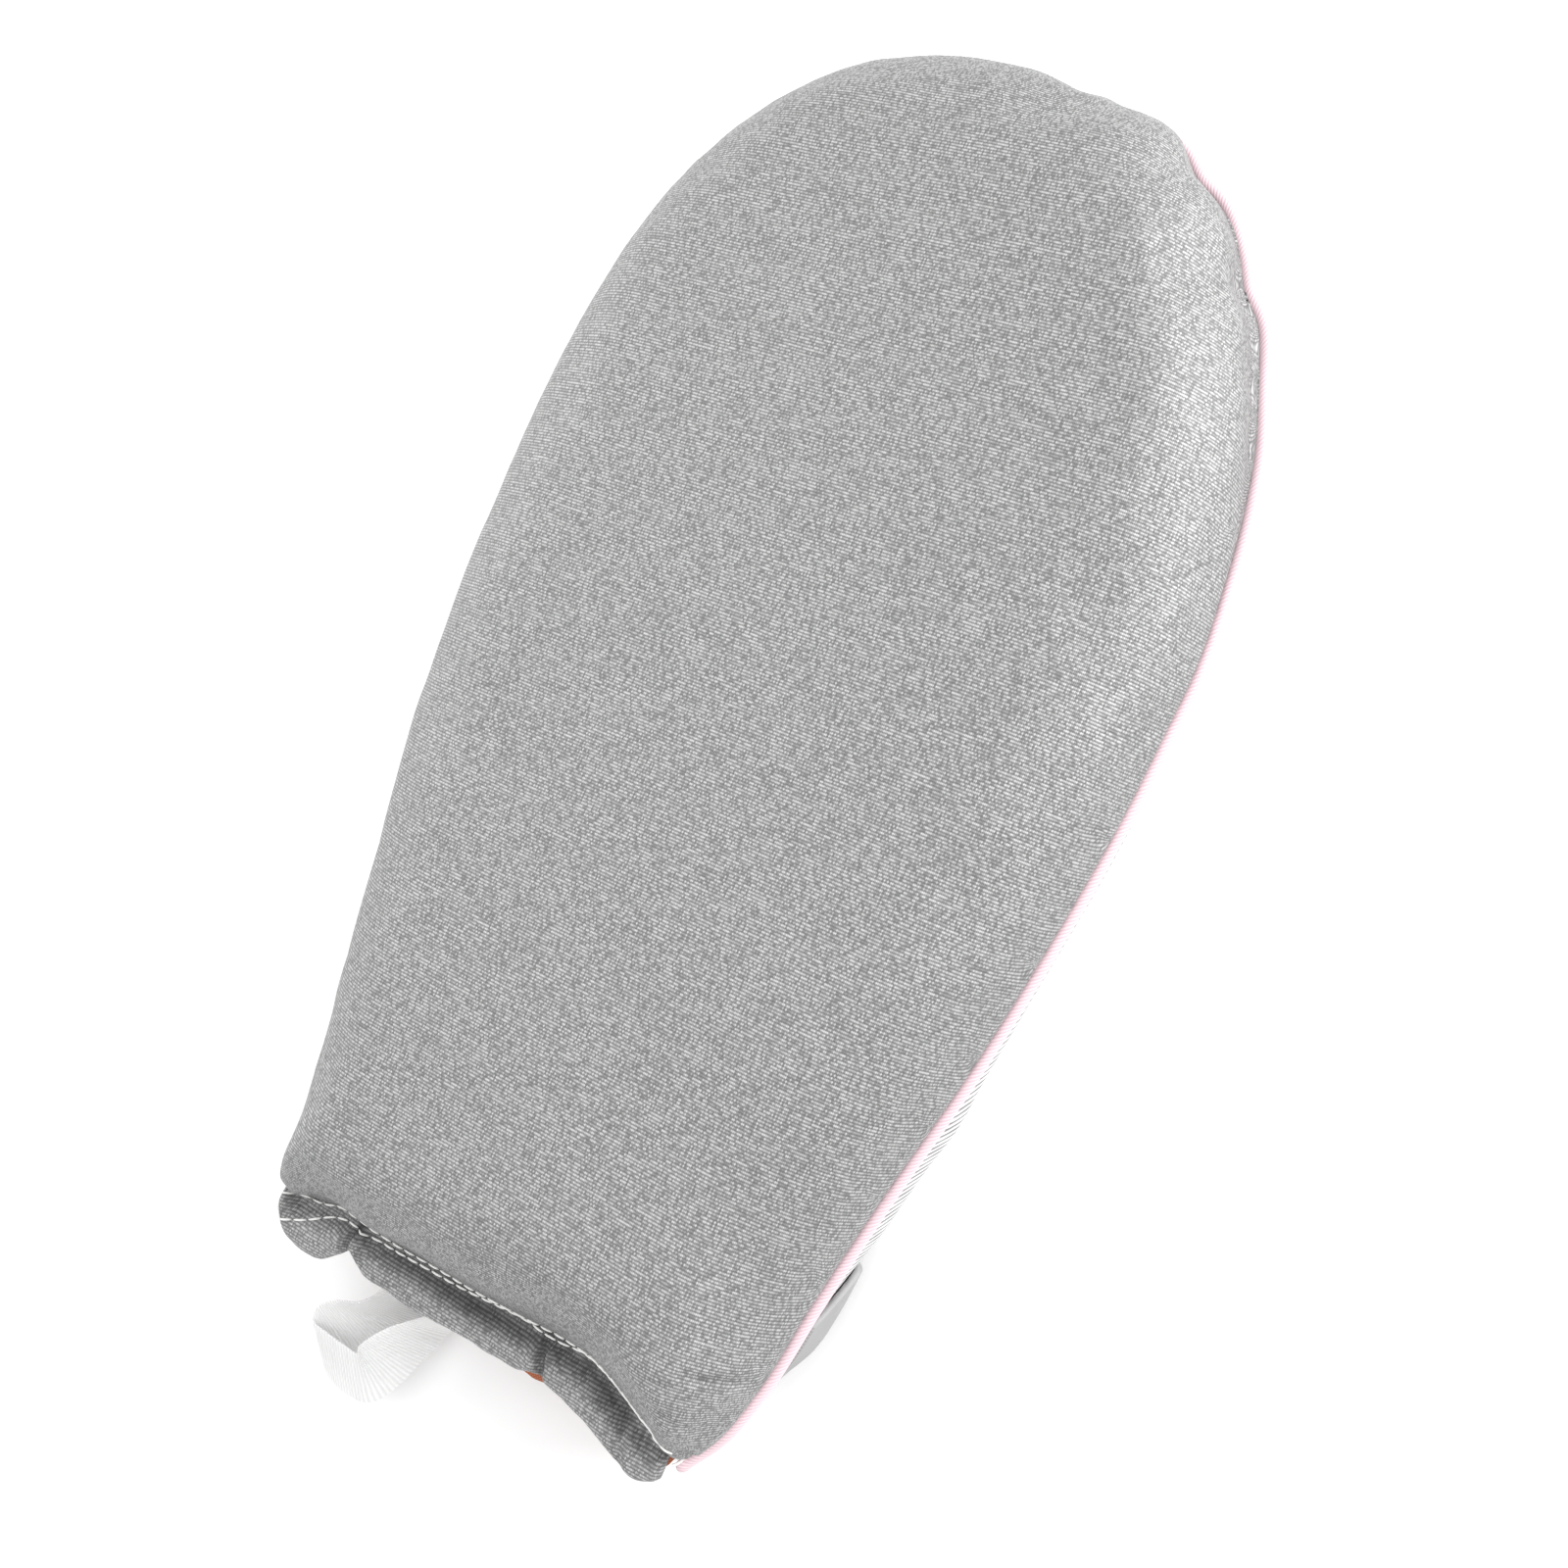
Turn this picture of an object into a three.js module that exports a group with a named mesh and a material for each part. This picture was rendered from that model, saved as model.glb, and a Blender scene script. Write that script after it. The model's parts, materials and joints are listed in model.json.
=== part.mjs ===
import * as THREE from 'three';
import { mergeVertices } from 'three/addons/utils/BufferGeometryUtils.js';

// An ironing glove that lies on its back with its silver ironing face up. Millimetres: +X is the glove's
// right seen from above, +Y points to the tip, +Z is up. The origin is on the surface that the glove
// rests on, at mid-length.

// The seam that joins the padded front to the back, seen from above: its half-widths below the tip
const SIDES = [
  { y: -138, left: 56.0, right: 46.2 },
  { y: -131, left: 59.4, right: 50.4 },
  { y: -119, left: 60.4, right: 54.1 },
  { y: -100, left: 62.8, right: 57.2 },
  { y: -74, left: 67.8, right: 62.2 },
  { y: -50, left: 72.0, right: 67.4 },
  { y: -23, left: 76.2, right: 72.0 },
  { y: 4, left: 78.4, right: 75.6 },
  { y: 35, left: 78.8, right: 77.8 },
];

// The tip is a fuller curve than an ellipse: x and y to this power add up to one
const TIP = { startY: 35, reach: 110, leftPower: 2.5, rightPower: 2.4 };

// Where the piping pulls the cloth in (dent above zero) or lets it out (below zero), and how far along
const SCALLOPS = [
  { x: 12, y: 144, dent: 2.0, spread: 4 },
  { x: 22.5, y: 142, dent: 1.2, spread: 3.5 },
  { x: 34, y: 138, dent: -0.9, spread: 5 },
  { x: 42, y: 132, dent: 1.3, spread: 5 },
  { x: 59, y: 112, dent: 2.1, spread: 5.5 },
  { x: 68, y: 98, dent: 2.3, spread: 40 },
];
const SCALLOP_RUN_IN = 20;

// Height of the seam above the surface at the cuff and at the tip: the back's hollow tapers to the tip
const SEAM_AT_CUFF = 21;
const SEAM_AT_TIP = 7;
const CUFF_Y = SIDES[0].y;
const TIP_Y = TIP.startY + TIP.reach;

const SIDE_STEPS = 25;
const TIP_STEPS = 64;
const TIP_SAMPLES = 60;

// The padded front: distance in from the seam and rise above it, up to where the round shoulder starts
const PAD_EDGE = [
  { inset: 2.1, rise: 0.2 },
  { inset: 1.7, rise: 1.2 },
  { inset: 1.0, rise: 2.6 },
  { inset: 0.6, rise: 5.0 },
];
const PAD_TOP = 19.4;
const SHOULDER_WIDTH = 17;
const SHOULDER_STEPS = 6;
const CORNER_SOFTENING = 44;

// The pad leaves the seam above these places, and is round at its two cuff corners
const PAD_LEFT_END_Y = -127;
const PAD_RIGHT_END_Y = -130;
const PAD_RIGHT_CORNER = [{ x: 47.4, y: -135.2 }, { x: 45.6, y: -137 }];
const PAD_LEFT_CORNER = [{ x: -56, y: -132.6 }, { x: -59.3, y: -130.6 }];
const PAD_CUFF = { right: 41, left: -52, step: 5.1 };

// The cuff from left to right: the stitch line where the pad ends, the hem's free edge, and how far the
// hem is lifted at its two folds
const CUFF = [
  { x: -60.0, stitch: -133.4, edge: -137.0, lift: 0 },
  { x: -57.4, stitch: -133.0, edge: -140.9, lift: 0 },
  { x: -53, stitch: -132.0, edge: -142.8, lift: 0 },
  { x: -46, stitch: -130.4, edge: -142.6, lift: 0 },
  { x: -41.5, stitch: -130.6, edge: -139.6, lift: 0.6 },
  { x: -38.8, stitch: -131.2, edge: -137.2, lift: 1.2 },
  { x: -36, stitch: -131.3, edge: -139.6, lift: 0.4 },
  { x: -26, stitch: -130.9, edge: -140.8, lift: 0 },
  { x: -6, stitch: -130.8, edge: -140.2, lift: 0 },
  { x: 6, stitch: -130.0, edge: -139.6, lift: 0.5 },
  { x: 10.5, stitch: -129.6, edge: -138.4, lift: 1.3 },
  { x: 14.5, stitch: -129.6, edge: -139.2, lift: 0.4 },
  { x: 22, stitch: -130.2, edge: -140.8, lift: 0 },
  { x: 31, stitch: -133.2, edge: -143.8, lift: 0 },
  { x: 38, stitch: -136.0, edge: -145.6, lift: 0 },
  { x: 42.8, stitch: -137.0, edge: -143.6, lift: 0 },
];

// The hem is the cover turned under twice: a rounded band, from the stitch line to its free edge
const HEM_SECTION = [
  { along: 0, up: 0.3 },
  { along: 0, up: 1.0 },
  { along: 0.14, up: 2.0 },
  { along: 0.32, up: 3.0 },
  { along: 0.6, up: 3.4 },
  { along: 0.86, up: 3.0 },
  { along: 1, up: 1.8 },
  { along: 0.98, up: 0.8 },
  { along: 0.9, up: 0.3 },
];
const HEM_TUCK = 1.4;

// The lining is one sheet under the pad, which shows at the hem's folds: its edge runs along these points
const LINING = { inset: 2.1, top: -0.2, thickness: 1 };
const LINING_EDGE = [
  { x: 42.6, y: -141.4 },
  { x: 34.6, y: -141.4 },
  { x: 26, y: -139.9 },
  { x: -53, y: -139.9 },
];

// The piping is a cord sewn into the seam
const PIPING_RADIUS = 1.4;
const PIPING_LEFT_END_Y = -129.6;
const PIPING_RIGHT_END = { x: 45.2, y: -140.2 };
const PIPING_STEPS = 150;
const PIPING_SIDES = 4;

// The back is a knitted mesh panel, a shallow hollow dish. Its wall by height, from the seam to the floor
const BACK_THICKNESS = 2;
const BACK_RIM_BELOW_SEAM = 1.8;
const BACK_FLOOR_PARTS = [0.5, 1];
const BACK_WALL = [
  { drop: 0, out: 0.4, swell: 0 },
  { drop: 0.2, out: 0.5, swell: 0.7 },
  { drop: 0.45, out: 0.3, swell: 1 },
  { drop: 0.7, out: -0.6, swell: 0.8 },
  { drop: 0.88, out: -2.6, swell: 0.4 },
  { drop: 1, out: -6.5, swell: 0 },
];
const BACK_SWELL = [
  { y: -138, swell: -0.4 },
  { y: -122, swell: -2.4 },
  { y: -112, swell: -1.0 },
  { y: -104, swell: -0.1 },
  { y: -96, swell: 0.6 },
  { y: -86, swell: 1.5 },
  { y: -70, swell: 1.8 },
  { y: -60, swell: 2.2 },
  { y: -50, swell: 1.2 },
  { y: -38, swell: 0.7 },
  { y: 0, swell: 0.4 },
  { y: 40, swell: 0 },
  { y: 145, swell: 0 },
];

// The wrist strap runs under the back and slants up both sides to the seam, towards the cuff
const STRAP = { middleY: -106, width: 25, thickness: 1.5, gap: 0.3, slack: 1.5, steps: 6 };
const STRAP_SLANT = 11;
const STRAP_SLANT_PART = 0.7;
const STRAP_LIFT_MARGIN = 2;
const STRAP_LIFT_RUN = 8;

// The hanging loop is a ribbon whose ends lie flat side by side under the lining: its upper edge, and
// the direction across its width from there
const LOOP_THICKNESS = 1;
const LOOP_WIDTH = 14;
const LOOP_STEPS = 48;
const LOOP = [
  { x: -17.2, y: -134.5, z: 18.6, across: [1, 0, 0] },
  { x: -17.5, y: -138.5, z: 18.4, across: [1, 0, -0.15] },
  { x: -19, y: -142.5, z: 18.2, across: [0.55, -0.1, -0.83] },
  { x: -22.5, y: -146, z: 17.8, across: [0.22, -0.25, -0.92] },
  { x: -26.5, y: -149.5, z: 17.5, across: [0.42, -0.3, -0.84] },
  { x: -30.3, y: -154, z: 17, across: [0.55, -0.28, -0.78] },
  { x: -33.3, y: -158.8, z: 16, across: [0.48, -0.46, -0.74] },
  { x: -34.3, y: -161.8, z: 15.2, across: [0.22, -0.66, -0.7] },
  { x: -38.8, y: -161.6, z: 15, across: [0.2, -0.76, -0.6] },
  { x: -43.5, y: -161, z: 14.6, across: [0.2, -0.8, -0.55] },
  { x: -47.5, y: -159.3, z: 14.4, across: [0.25, -0.8, -0.52] },
  { x: -46.8, y: -155.4, z: 14.6, across: [0.68, -0.6, -0.45] },
  { x: -42.3, y: -152, z: 15.6, across: [0.68, -0.46, -0.55] },
  { x: -36.5, y: -149, z: 16.8, across: [0.65, -0.2, -0.72] },
  { x: -32.5, y: -144.6, z: 17.4, across: [0.85, 0.1, -0.5] },
  { x: -31.9, y: -140, z: 18.2, across: [1, 0, -0.2] },
  { x: -31.7, y: -134.5, z: 18.6, across: [1, 0, 0] },
];

// A smooth curve through one column of a table, read at any value of another column
function column(table, from, name) {
  const places = table.map((row) => row[from]);
  const values = table.map((row) => row[name]);
  const curve = new THREE.CubicInterpolant(places, values, 1);
  return (place) => curve.evaluate(place)[0];
}

const SAME_POINT = 1e-4;
const smoothstep = THREE.MathUtils.smoothstep;
const lerp = THREE.MathUtils.lerp;
const leftHalf = column(SIDES, 'y', 'left');
const rightHalf = column(SIDES, 'y', 'right');
const stitchAt = column(CUFF, 'x', 'stitch');
const edgeAt = column(CUFF, 'x', 'edge');
const liftAt = column(CUFF, 'x', 'lift');
const swellAt = column(BACK_SWELL, 'y', 'swell');

function seamHeight(y) {
  return lerp(SEAM_AT_CUFF, SEAM_AT_TIP, (y - CUFF_Y) / (TIP_Y - CUFF_Y));
}

// The underside of the back: on the surface, and raised by the strap's thickness where that passes
function floorHeight(y) {
  const near = STRAP.middleY + STRAP.width / 2 + STRAP_LIFT_MARGIN;
  const far = STRAP.middleY - STRAP.width / 2 - STRAP_LIFT_MARGIN;
  const start = 1 - smoothstep(y, near, near + STRAP_LIFT_RUN);
  const end = smoothstep(y, far - STRAP_LIFT_RUN, far);
  return (STRAP.thickness + STRAP.gap) * start * end;
}

// Triangles between two rows of points
function strip(rowA, rowB, triangles) {
  for (let i = 0; i + 1 < rowA.length; i++) {
    triangles.push([rowA[i], rowA[i + 1], rowB[i + 1]], [rowA[i], rowB[i + 1], rowB[i]]);
  }
}

// Triangles from a closed loop to its middle
function fan(loop, triangles) {
  const middle = new THREE.Vector3();
  loop.forEach((point) => middle.addScaledVector(point, 1 / loop.length));
  loop.forEach((point, i) => triangles.push([point, loop[(i + 1) % loop.length], middle]));
}

// Triangles of a body that runs through closed loops, with both ends filled
function loft(loops) {
  const triangles = [];
  const closed = loops.map((loop) => [...loop, loop[0]]);
  for (let i = 0; i + 1 < closed.length; i++) strip(closed[i], closed[i + 1], triangles);
  fan([...loops[0]].reverse(), triangles);
  fan(loops[loops.length - 1], triangles);
  return triangles;
}

// Triangles of a sheet between an outer and an inner grid of points; a folded sheet's last column
// meets itself and has no edge there
function slab(outer, inner, folded) {
  const triangles = [];
  const last = outer.length - 1;
  const end = outer[0].length - 1;
  for (let i = 0; i < last; i++) {
    strip(outer[i], outer[i + 1], triangles);
    strip(inner[i + 1], inner[i], triangles);
  }
  strip(inner[0], outer[0], triangles);
  strip(outer[last], inner[last], triangles);
  strip(outer.map((row) => row[0]), inner.map((row) => row[0]), triangles);
  if (!folded) strip(inner.map((row) => row[end]), outer.map((row) => row[end]), triangles);
  return triangles;
}

function signedVolume(triangles) {
  const product = new THREE.Vector3();
  return triangles.reduce((sum, [a, b, c]) => sum + product.crossVectors(b, c).dot(a) / 6, 0);
}

// One closed mesh from its triangles, faces out, with the empty ones left out
function solid(name, triangles, finish) {
  const turned = signedVolume(triangles) < 0 ? triangles.map(([a, b, c]) => [a, c, b]) : triangles;
  const real = turned.filter(([a, b, c]) => {
    return Math.min(a.distanceTo(b), b.distanceTo(c), c.distanceTo(a)) > SAME_POINT;
  });
  const corners = real.flat().flatMap((point) => point.toArray());
  const loose = new THREE.BufferGeometry();
  loose.setAttribute('position', new THREE.Float32BufferAttribute(corners, 3));
  const geometry = mergeVertices(loose, SAME_POINT);
  geometry.computeVertexNormals();
  const mesh = new THREE.Mesh(geometry, new THREE.MeshStandardMaterial(finish));
  mesh.name = name;
  return mesh;
}

// The seam from the left cuff corner, round the tip, to the right cuff corner, seen from above
function seamLine() {
  const rows = Array.from({ length: SIDE_STEPS }, (_, i) => lerp(CUFF_Y, TIP.startY, i / SIDE_STEPS));
  const rim = [];
  for (let i = 0; i <= TIP_SAMPLES; i++) {
    const angle = Math.PI * (1 - i / TIP_SAMPLES);
    const power = angle > Math.PI / 2 ? TIP.leftPower : TIP.rightPower;
    const half = angle > Math.PI / 2 ? leftHalf(TIP.startY) : rightHalf(TIP.startY);
    const x = Math.sign(Math.cos(angle)) * half * Math.abs(Math.cos(angle)) ** (2 / power);
    rim.push(new THREE.Vector2(x, TIP.startY + TIP.reach * Math.sin(angle) ** (2 / power)));
  }
  const tip = new THREE.SplineCurve(rim).getSpacedPoints(TIP_STEPS);
  const left = rows.map((y) => new THREE.Vector2(-leftHalf(y), y));
  const right = rows.map((y) => new THREE.Vector2(rightHalf(y), y)).reverse();
  const line = [...left, ...tip, ...right];
  const out = outwardOf(line, false);
  return line.map((point, i) => {
    const dent = SCALLOPS.reduce((sum, scallop) => {
      const away = Math.hypot(point.x - scallop.x, point.y - scallop.y) / scallop.spread;
      return sum + scallop.dent * Math.exp(-away * away);
    }, 0);
    const share = smoothstep(point.y, TIP.startY, TIP.startY + SCALLOP_RUN_IN);
    return point.clone().addScaledVector(out[i], -dent * share);
  });
}

// The outward direction at each point of a line that runs clockwise seen from above
function outwardOf(line, closed) {
  const count = line.length;
  return line.map((_, i) => {
    const before = closed ? line[(i + count - 1) % count] : line[Math.max(i - 1, 0)];
    const after = closed ? line[(i + 1) % count] : line[Math.min(i + 1, count - 1)];
    const run = after.clone().sub(before).normalize();
    return new THREE.Vector2(-run.y, run.x);
  });
}

const seam = seamLine();

// The pad's outline: the seam as far as the cuff corners, and then back along the stitch line
function padOutline() {
  const side = seam.filter((point) => point.y > (point.x < 0 ? PAD_LEFT_END_Y : PAD_RIGHT_END_Y));
  const cuff = [];
  for (let x = PAD_CUFF.right; x > PAD_CUFF.left; x -= PAD_CUFF.step) cuff.push({ x, y: stitchAt(x) });
  const corners = [...PAD_RIGHT_CORNER, ...cuff, ...PAD_LEFT_CORNER];
  return [...side, ...corners.map((spot) => new THREE.Vector2(spot.x, spot.y))];
}

function distanceToOutline(point, outline) {
  const segment = new THREE.Line3();
  const spot = new THREE.Vector3(point.x, point.y, 0);
  const foot = new THREE.Vector3();
  let least = Infinity;
  outline.forEach((start, i) => {
    const end = outline[(i + 1) % outline.length];
    segment.set(new THREE.Vector3(start.x, start.y, 0), new THREE.Vector3(end.x, end.y, 0));
    segment.closestPointToPoint(spot, true, foot);
    least = Math.min(least, foot.distanceTo(spot));
  });
  return least;
}

// Inward directions, blended along the outline so that they spread evenly round the corners
function inwardOf(outline) {
  const out = outwardOf(outline, true);
  const places = [0];
  outline.forEach((point, i) => {
    places.push(places[i] + point.distanceTo(outline[(i + 1) % outline.length]));
  });
  const around = places[outline.length];
  return outline.map((_, i) => {
    const blend = new THREE.Vector2();
    out.forEach((normal, j) => {
      const gap = Math.abs(places[i] - places[j]);
      const away = Math.min(gap, around - gap) / CORNER_SOFTENING;
      blend.addScaledVector(normal, -Math.exp(-away * away * 2));
    });
    return blend.normalize();
  });
}

// The loop at one distance inside the outline, one point for each point of the outline
function insetLoop(outline, inward, inset, heightAbove) {
  return outline.map((start, i) => {
    let near = 0;
    let far = inset * 3;
    for (let turn = 0; turn < 24; turn++) {
      const reach = (near + far) / 2;
      const spot = start.clone().addScaledVector(inward[i], reach);
      if (distanceToOutline(spot, outline) < inset) near = reach;
      else far = reach;
    }
    const spot = start.clone().addScaledVector(inward[i], near);
    return new THREE.Vector3(spot.x, spot.y, seamHeight(spot.y) + heightAbove);
  });
}

function frontPad() {
  const outline = padOutline();
  const inward = inwardOf(outline);
  const rows = [...PAD_EDGE];
  const start = PAD_EDGE[PAD_EDGE.length - 1];
  for (let i = 1; i <= SHOULDER_STEPS; i++) {
    const turn = (Math.PI / 2) * (i / SHOULDER_STEPS);
    const inset = start.inset + SHOULDER_WIDTH * (1 - Math.cos(turn));
    rows.push({ inset, rise: lerp(start.rise, PAD_TOP, Math.sin(turn)) });
  }
  const loops = rows.map((row) => insetLoop(outline, inward, row.inset, row.rise));
  const finish = { color: 0x9d9d9d, roughness: 0.5, metalness: 0.3 };
  return solid('front_pad', loft(loops), finish);
}

function lining() {
  const out = outwardOf(seam, false);
  const line = seam.map((point, i) => point.clone().addScaledVector(out[i], -LINING.inset));
  line.push(...LINING_EDGE.map((spot) => new THREE.Vector2(spot.x, spot.y)));
  const at = (height) => line.map((p) => new THREE.Vector3(p.x, p.y, seamHeight(p.y) + height));
  const loops = [at(LINING.top - LINING.thickness), at(LINING.top)];
  return solid('lining', loft(loops), { color: 0xb5694a, roughness: 0.9, metalness: 0 });
}

function frontHem() {
  const places = CUFF.flatMap((row, i) => (i ? [(CUFF[i - 1].x + row.x) / 2, row.x] : [row.x]));
  const loops = places.map((x) => HEM_SECTION.map((row) => {
    const y = lerp(stitchAt(x) + HEM_TUCK, edgeAt(x), row.along);
    const raised = liftAt(x) * smoothstep(row.along, 0.1, 0.6);
    return new THREE.Vector3(x, y, seamHeight(y) + row.up + Math.max(raised, 0));
  }));
  return solid('front_hem', loft(loops), { color: 0x8f8f8f, roughness: 0.5, metalness: 0.3 });
}

function piping() {
  const points = seam.filter((point) => point.x > 0 || point.y > PIPING_LEFT_END_Y);
  points.push(new THREE.Vector2(PIPING_RIGHT_END.x, PIPING_RIGHT_END.y));
  const path = new THREE.CatmullRomCurve3(points.map((p) => new THREE.Vector3(p.x, p.y, seamHeight(p.y))));
  const section = new THREE.Shape();
  section.absarc(0, 0, PIPING_RADIUS, 0, Math.PI * 2);
  const options = { extrudePath: path, steps: PIPING_STEPS, curveSegments: PIPING_SIDES };
  const cord = new THREE.ExtrudeGeometry(section, options);
  const material = new THREE.MeshStandardMaterial({ color: 0xf0cdd4, roughness: 0.45, metalness: 0 });
  const mesh = new THREE.Mesh(cord, material);
  mesh.name = 'piping';
  return mesh;
}

// The outside of the back's wall at one place: distance beyond the seam, and height
function backWall(y) {
  const rimHeight = seamHeight(y) - BACK_RIM_BELOW_SEAM;
  return BACK_WALL.map((row) => {
    return { out: row.out + swellAt(y) * row.swell, z: lerp(rimHeight, floorHeight(y), row.drop) };
  });
}

// A wall profile moved sideways: inwards for a distance above zero
function offsetProfile(profile, distanceAt) {
  return profile.map((point, i) => {
    const before = profile[Math.max(i - 1, 0)];
    const after = profile[Math.min(i + 1, profile.length - 1)];
    const run = new THREE.Vector2(after.out - before.out, after.z - before.z).normalize();
    const across = i ? new THREE.Vector2(run.y, -run.x) : new THREE.Vector2(-1, 0);
    const distance = distanceAt(i);
    return { out: point.out + across.x * distance, z: point.z + across.y * distance };
  });
}

function backPanel() {
  const outer = [];
  const inner = [];
  seam.forEach((point) => {
    const middle = new THREE.Vector2(0, Math.min(point.y, TIP.startY));
    const out = point.clone().sub(middle);
    const reach = out.length();
    out.normalize();
    const wall = backWall(point.y);
    const corner = wall[wall.length - 1];
    const floor = BACK_FLOOR_PARTS.map((part) => ({ out: lerp(corner.out, -reach, part), z: corner.z }));
    const profile = [...wall, ...floor];
    const inside = offsetProfile(profile, () => BACK_THICKNESS);
    inside[inside.length - 1].out = -reach;
    const place = (row) => {
      const spot = point.clone().addScaledVector(out, row.out);
      return new THREE.Vector3(spot.x, spot.y, row.z);
    };
    outer.push(profile.map(place));
    inner.push(inside.map(place));
  });
  const finish = { color: 0xececec, roughness: 0.85, metalness: 0 };
  return solid('back_panel', slab(outer, inner, true), finish);
}

function wristStrap() {
  const outer = [];
  const inner = [];
  for (let i = 0; i <= STRAP.steps; i++) {
    const middle = STRAP.middleY + STRAP.width * (i / STRAP.steps - 0.5);
    const bow = STRAP.slack * Math.sin(Math.PI * (i / STRAP.steps));
    const lines = [0, STRAP.thickness].map((depth) => {
      const side = BACK_WALL.map(({ drop }, row) => {
        const y = middle - STRAP_SLANT * (1 - smoothstep(drop, 0, STRAP_SLANT_PART));
        const away = -STRAP.gap - bow * Math.sin(Math.PI * drop) - depth;
        return { y, ...offsetProfile(backWall(y), () => away)[row] };
      });
      const right = side.map(({ y, out, z }) => new THREE.Vector3(rightHalf(y) + out, y, z));
      const left = side.map(({ y, out, z }) => new THREE.Vector3(-leftHalf(y) - out, y, z));
      return [...left, new THREE.Vector3(0, middle, side[side.length - 1].z), ...right.reverse()];
    });
    inner.push(lines[0]);
    outer.push(lines[1]);
  }
  const finish = { color: 0x9a9a9a, roughness: 0.6, metalness: 0 };
  return solid('wrist_strap', slab(outer, inner, false), finish);
}

function hangLoop() {
  const smooth = (points) => new THREE.CatmullRomCurve3(points, false, 'catmullrom');
  const edge = smooth(LOOP.map((row) => new THREE.Vector3(row.x, row.y, row.z)));
  const widths = smooth(LOOP.map((row) => new THREE.Vector3(...row.across)));
  const halves = edge.getPoints(LOOP_STEPS).map((start, i) => {
    const across = widths.getPoint(i / LOOP_STEPS).setLength(LOOP_WIDTH / 2);
    return { across, centre: start.clone().add(across) };
  });
  const loops = halves.map(({ across, centre }, i) => {
    const before = halves[Math.max(i - 1, 0)].centre;
    const after = halves[Math.min(i + 1, LOOP_STEPS)].centre;
    const through = after.clone().sub(before).cross(across).setLength(LOOP_THICKNESS / 2);
    return [[1, 1], [-1, 1], [-1, -1], [1, -1]].map(([side, face]) => {
      return centre.clone().addScaledVector(across, side).addScaledVector(through, face);
    });
  });
  return solid('hang_loop', loft(loops), { color: 0xf4f4f4, roughness: 0.7, metalness: 0 });
}

const glove = new THREE.Group();
glove.add(frontPad(), lining(), frontHem(), piping(), backPanel(), wristStrap(), hangLoop());

export default glove;
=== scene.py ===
import json
import math
from collections import namedtuple

import bpy
import numpy as np
from mathutils import Euler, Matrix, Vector, noise
from mathutils.bvhtree import BVHTree


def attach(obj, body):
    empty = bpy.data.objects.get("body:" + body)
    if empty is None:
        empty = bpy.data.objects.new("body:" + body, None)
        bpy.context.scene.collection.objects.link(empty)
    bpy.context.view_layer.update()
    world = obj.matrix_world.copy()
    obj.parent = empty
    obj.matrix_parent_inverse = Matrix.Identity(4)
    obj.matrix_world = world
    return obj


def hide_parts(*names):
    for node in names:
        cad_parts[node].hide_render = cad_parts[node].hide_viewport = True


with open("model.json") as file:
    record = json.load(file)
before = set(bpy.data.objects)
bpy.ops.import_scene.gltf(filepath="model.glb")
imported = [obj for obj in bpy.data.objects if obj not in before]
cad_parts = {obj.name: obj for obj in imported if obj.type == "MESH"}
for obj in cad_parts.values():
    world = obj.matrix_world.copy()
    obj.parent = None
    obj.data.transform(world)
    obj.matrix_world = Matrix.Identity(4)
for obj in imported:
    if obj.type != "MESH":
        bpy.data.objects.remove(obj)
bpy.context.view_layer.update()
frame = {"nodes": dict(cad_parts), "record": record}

# The view: a product photograph from nearly overhead, a little from the glove's right side.
# The glove lies on its back and leans in the frame, with its tip up and to the right.
MM = 0.001
CAMERA_PLACE_MM = (125.0, -8.9, 292.6)
CAMERA_TURN_DEG = (8.53, 20.98, 23.67)
LENS_MM = 33.75

camera = bpy.data.objects.new("camera", bpy.data.cameras.new("camera"))
camera.data.lens = LENS_MM
camera.data.clip_start = 0.01
camera.location = Vector(CAMERA_PLACE_MM) * MM
camera.rotation_euler = Euler([math.radians(turn) for turn in CAMERA_TURN_DEG])
bpy.context.scene.collection.objects.link(camera)
bpy.context.scene.camera = camera

# The seam: one line of machine stitching joins the padded front, the piping and the mesh back. It runs
# from the left cuff corner round the tip to the right cuff corner, in a plane that slopes to the tip.
# Where the piping was pulled while it was sewn, the line dips in (dent above zero) or bulges out.
Side = namedtuple("Side", "y left right")
SIDES = (
    Side(-138, 56.0, 46.2),
    Side(-131, 59.4, 50.4),
    Side(-119, 60.4, 54.1),
    Side(-100, 62.8, 57.2),
    Side(-74, 67.8, 62.2),
    Side(-50, 72.0, 67.4),
    Side(-23, 76.2, 72.0),
    Side(4, 78.4, 75.6),
    Side(35, 78.8, 77.8),
)
CUFF_Y = SIDES[0].y
TIP_START_Y = SIDES[-1].y
TIP_REACH = 110
TIP_LEFT_POWER = 2.5
TIP_RIGHT_POWER = 2.4
TIP_SAMPLES = 241
Scallop = namedtuple("Scallop", "x y dent spread")
SCALLOPS = (
    Scallop(12, 144, 2.0, 4),
    Scallop(22.5, 142, 1.2, 3.5),
    Scallop(34, 138, -0.9, 5),
    Scallop(42, 132, 1.3, 5),
    Scallop(59, 112, 2.1, 5.5),
    Scallop(68, 98, 2.3, 40),
)
SCALLOP_RUN_IN = 20
OUTLINE_STEPS = (80, 160)
PAD_RISE = 19.4

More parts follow.
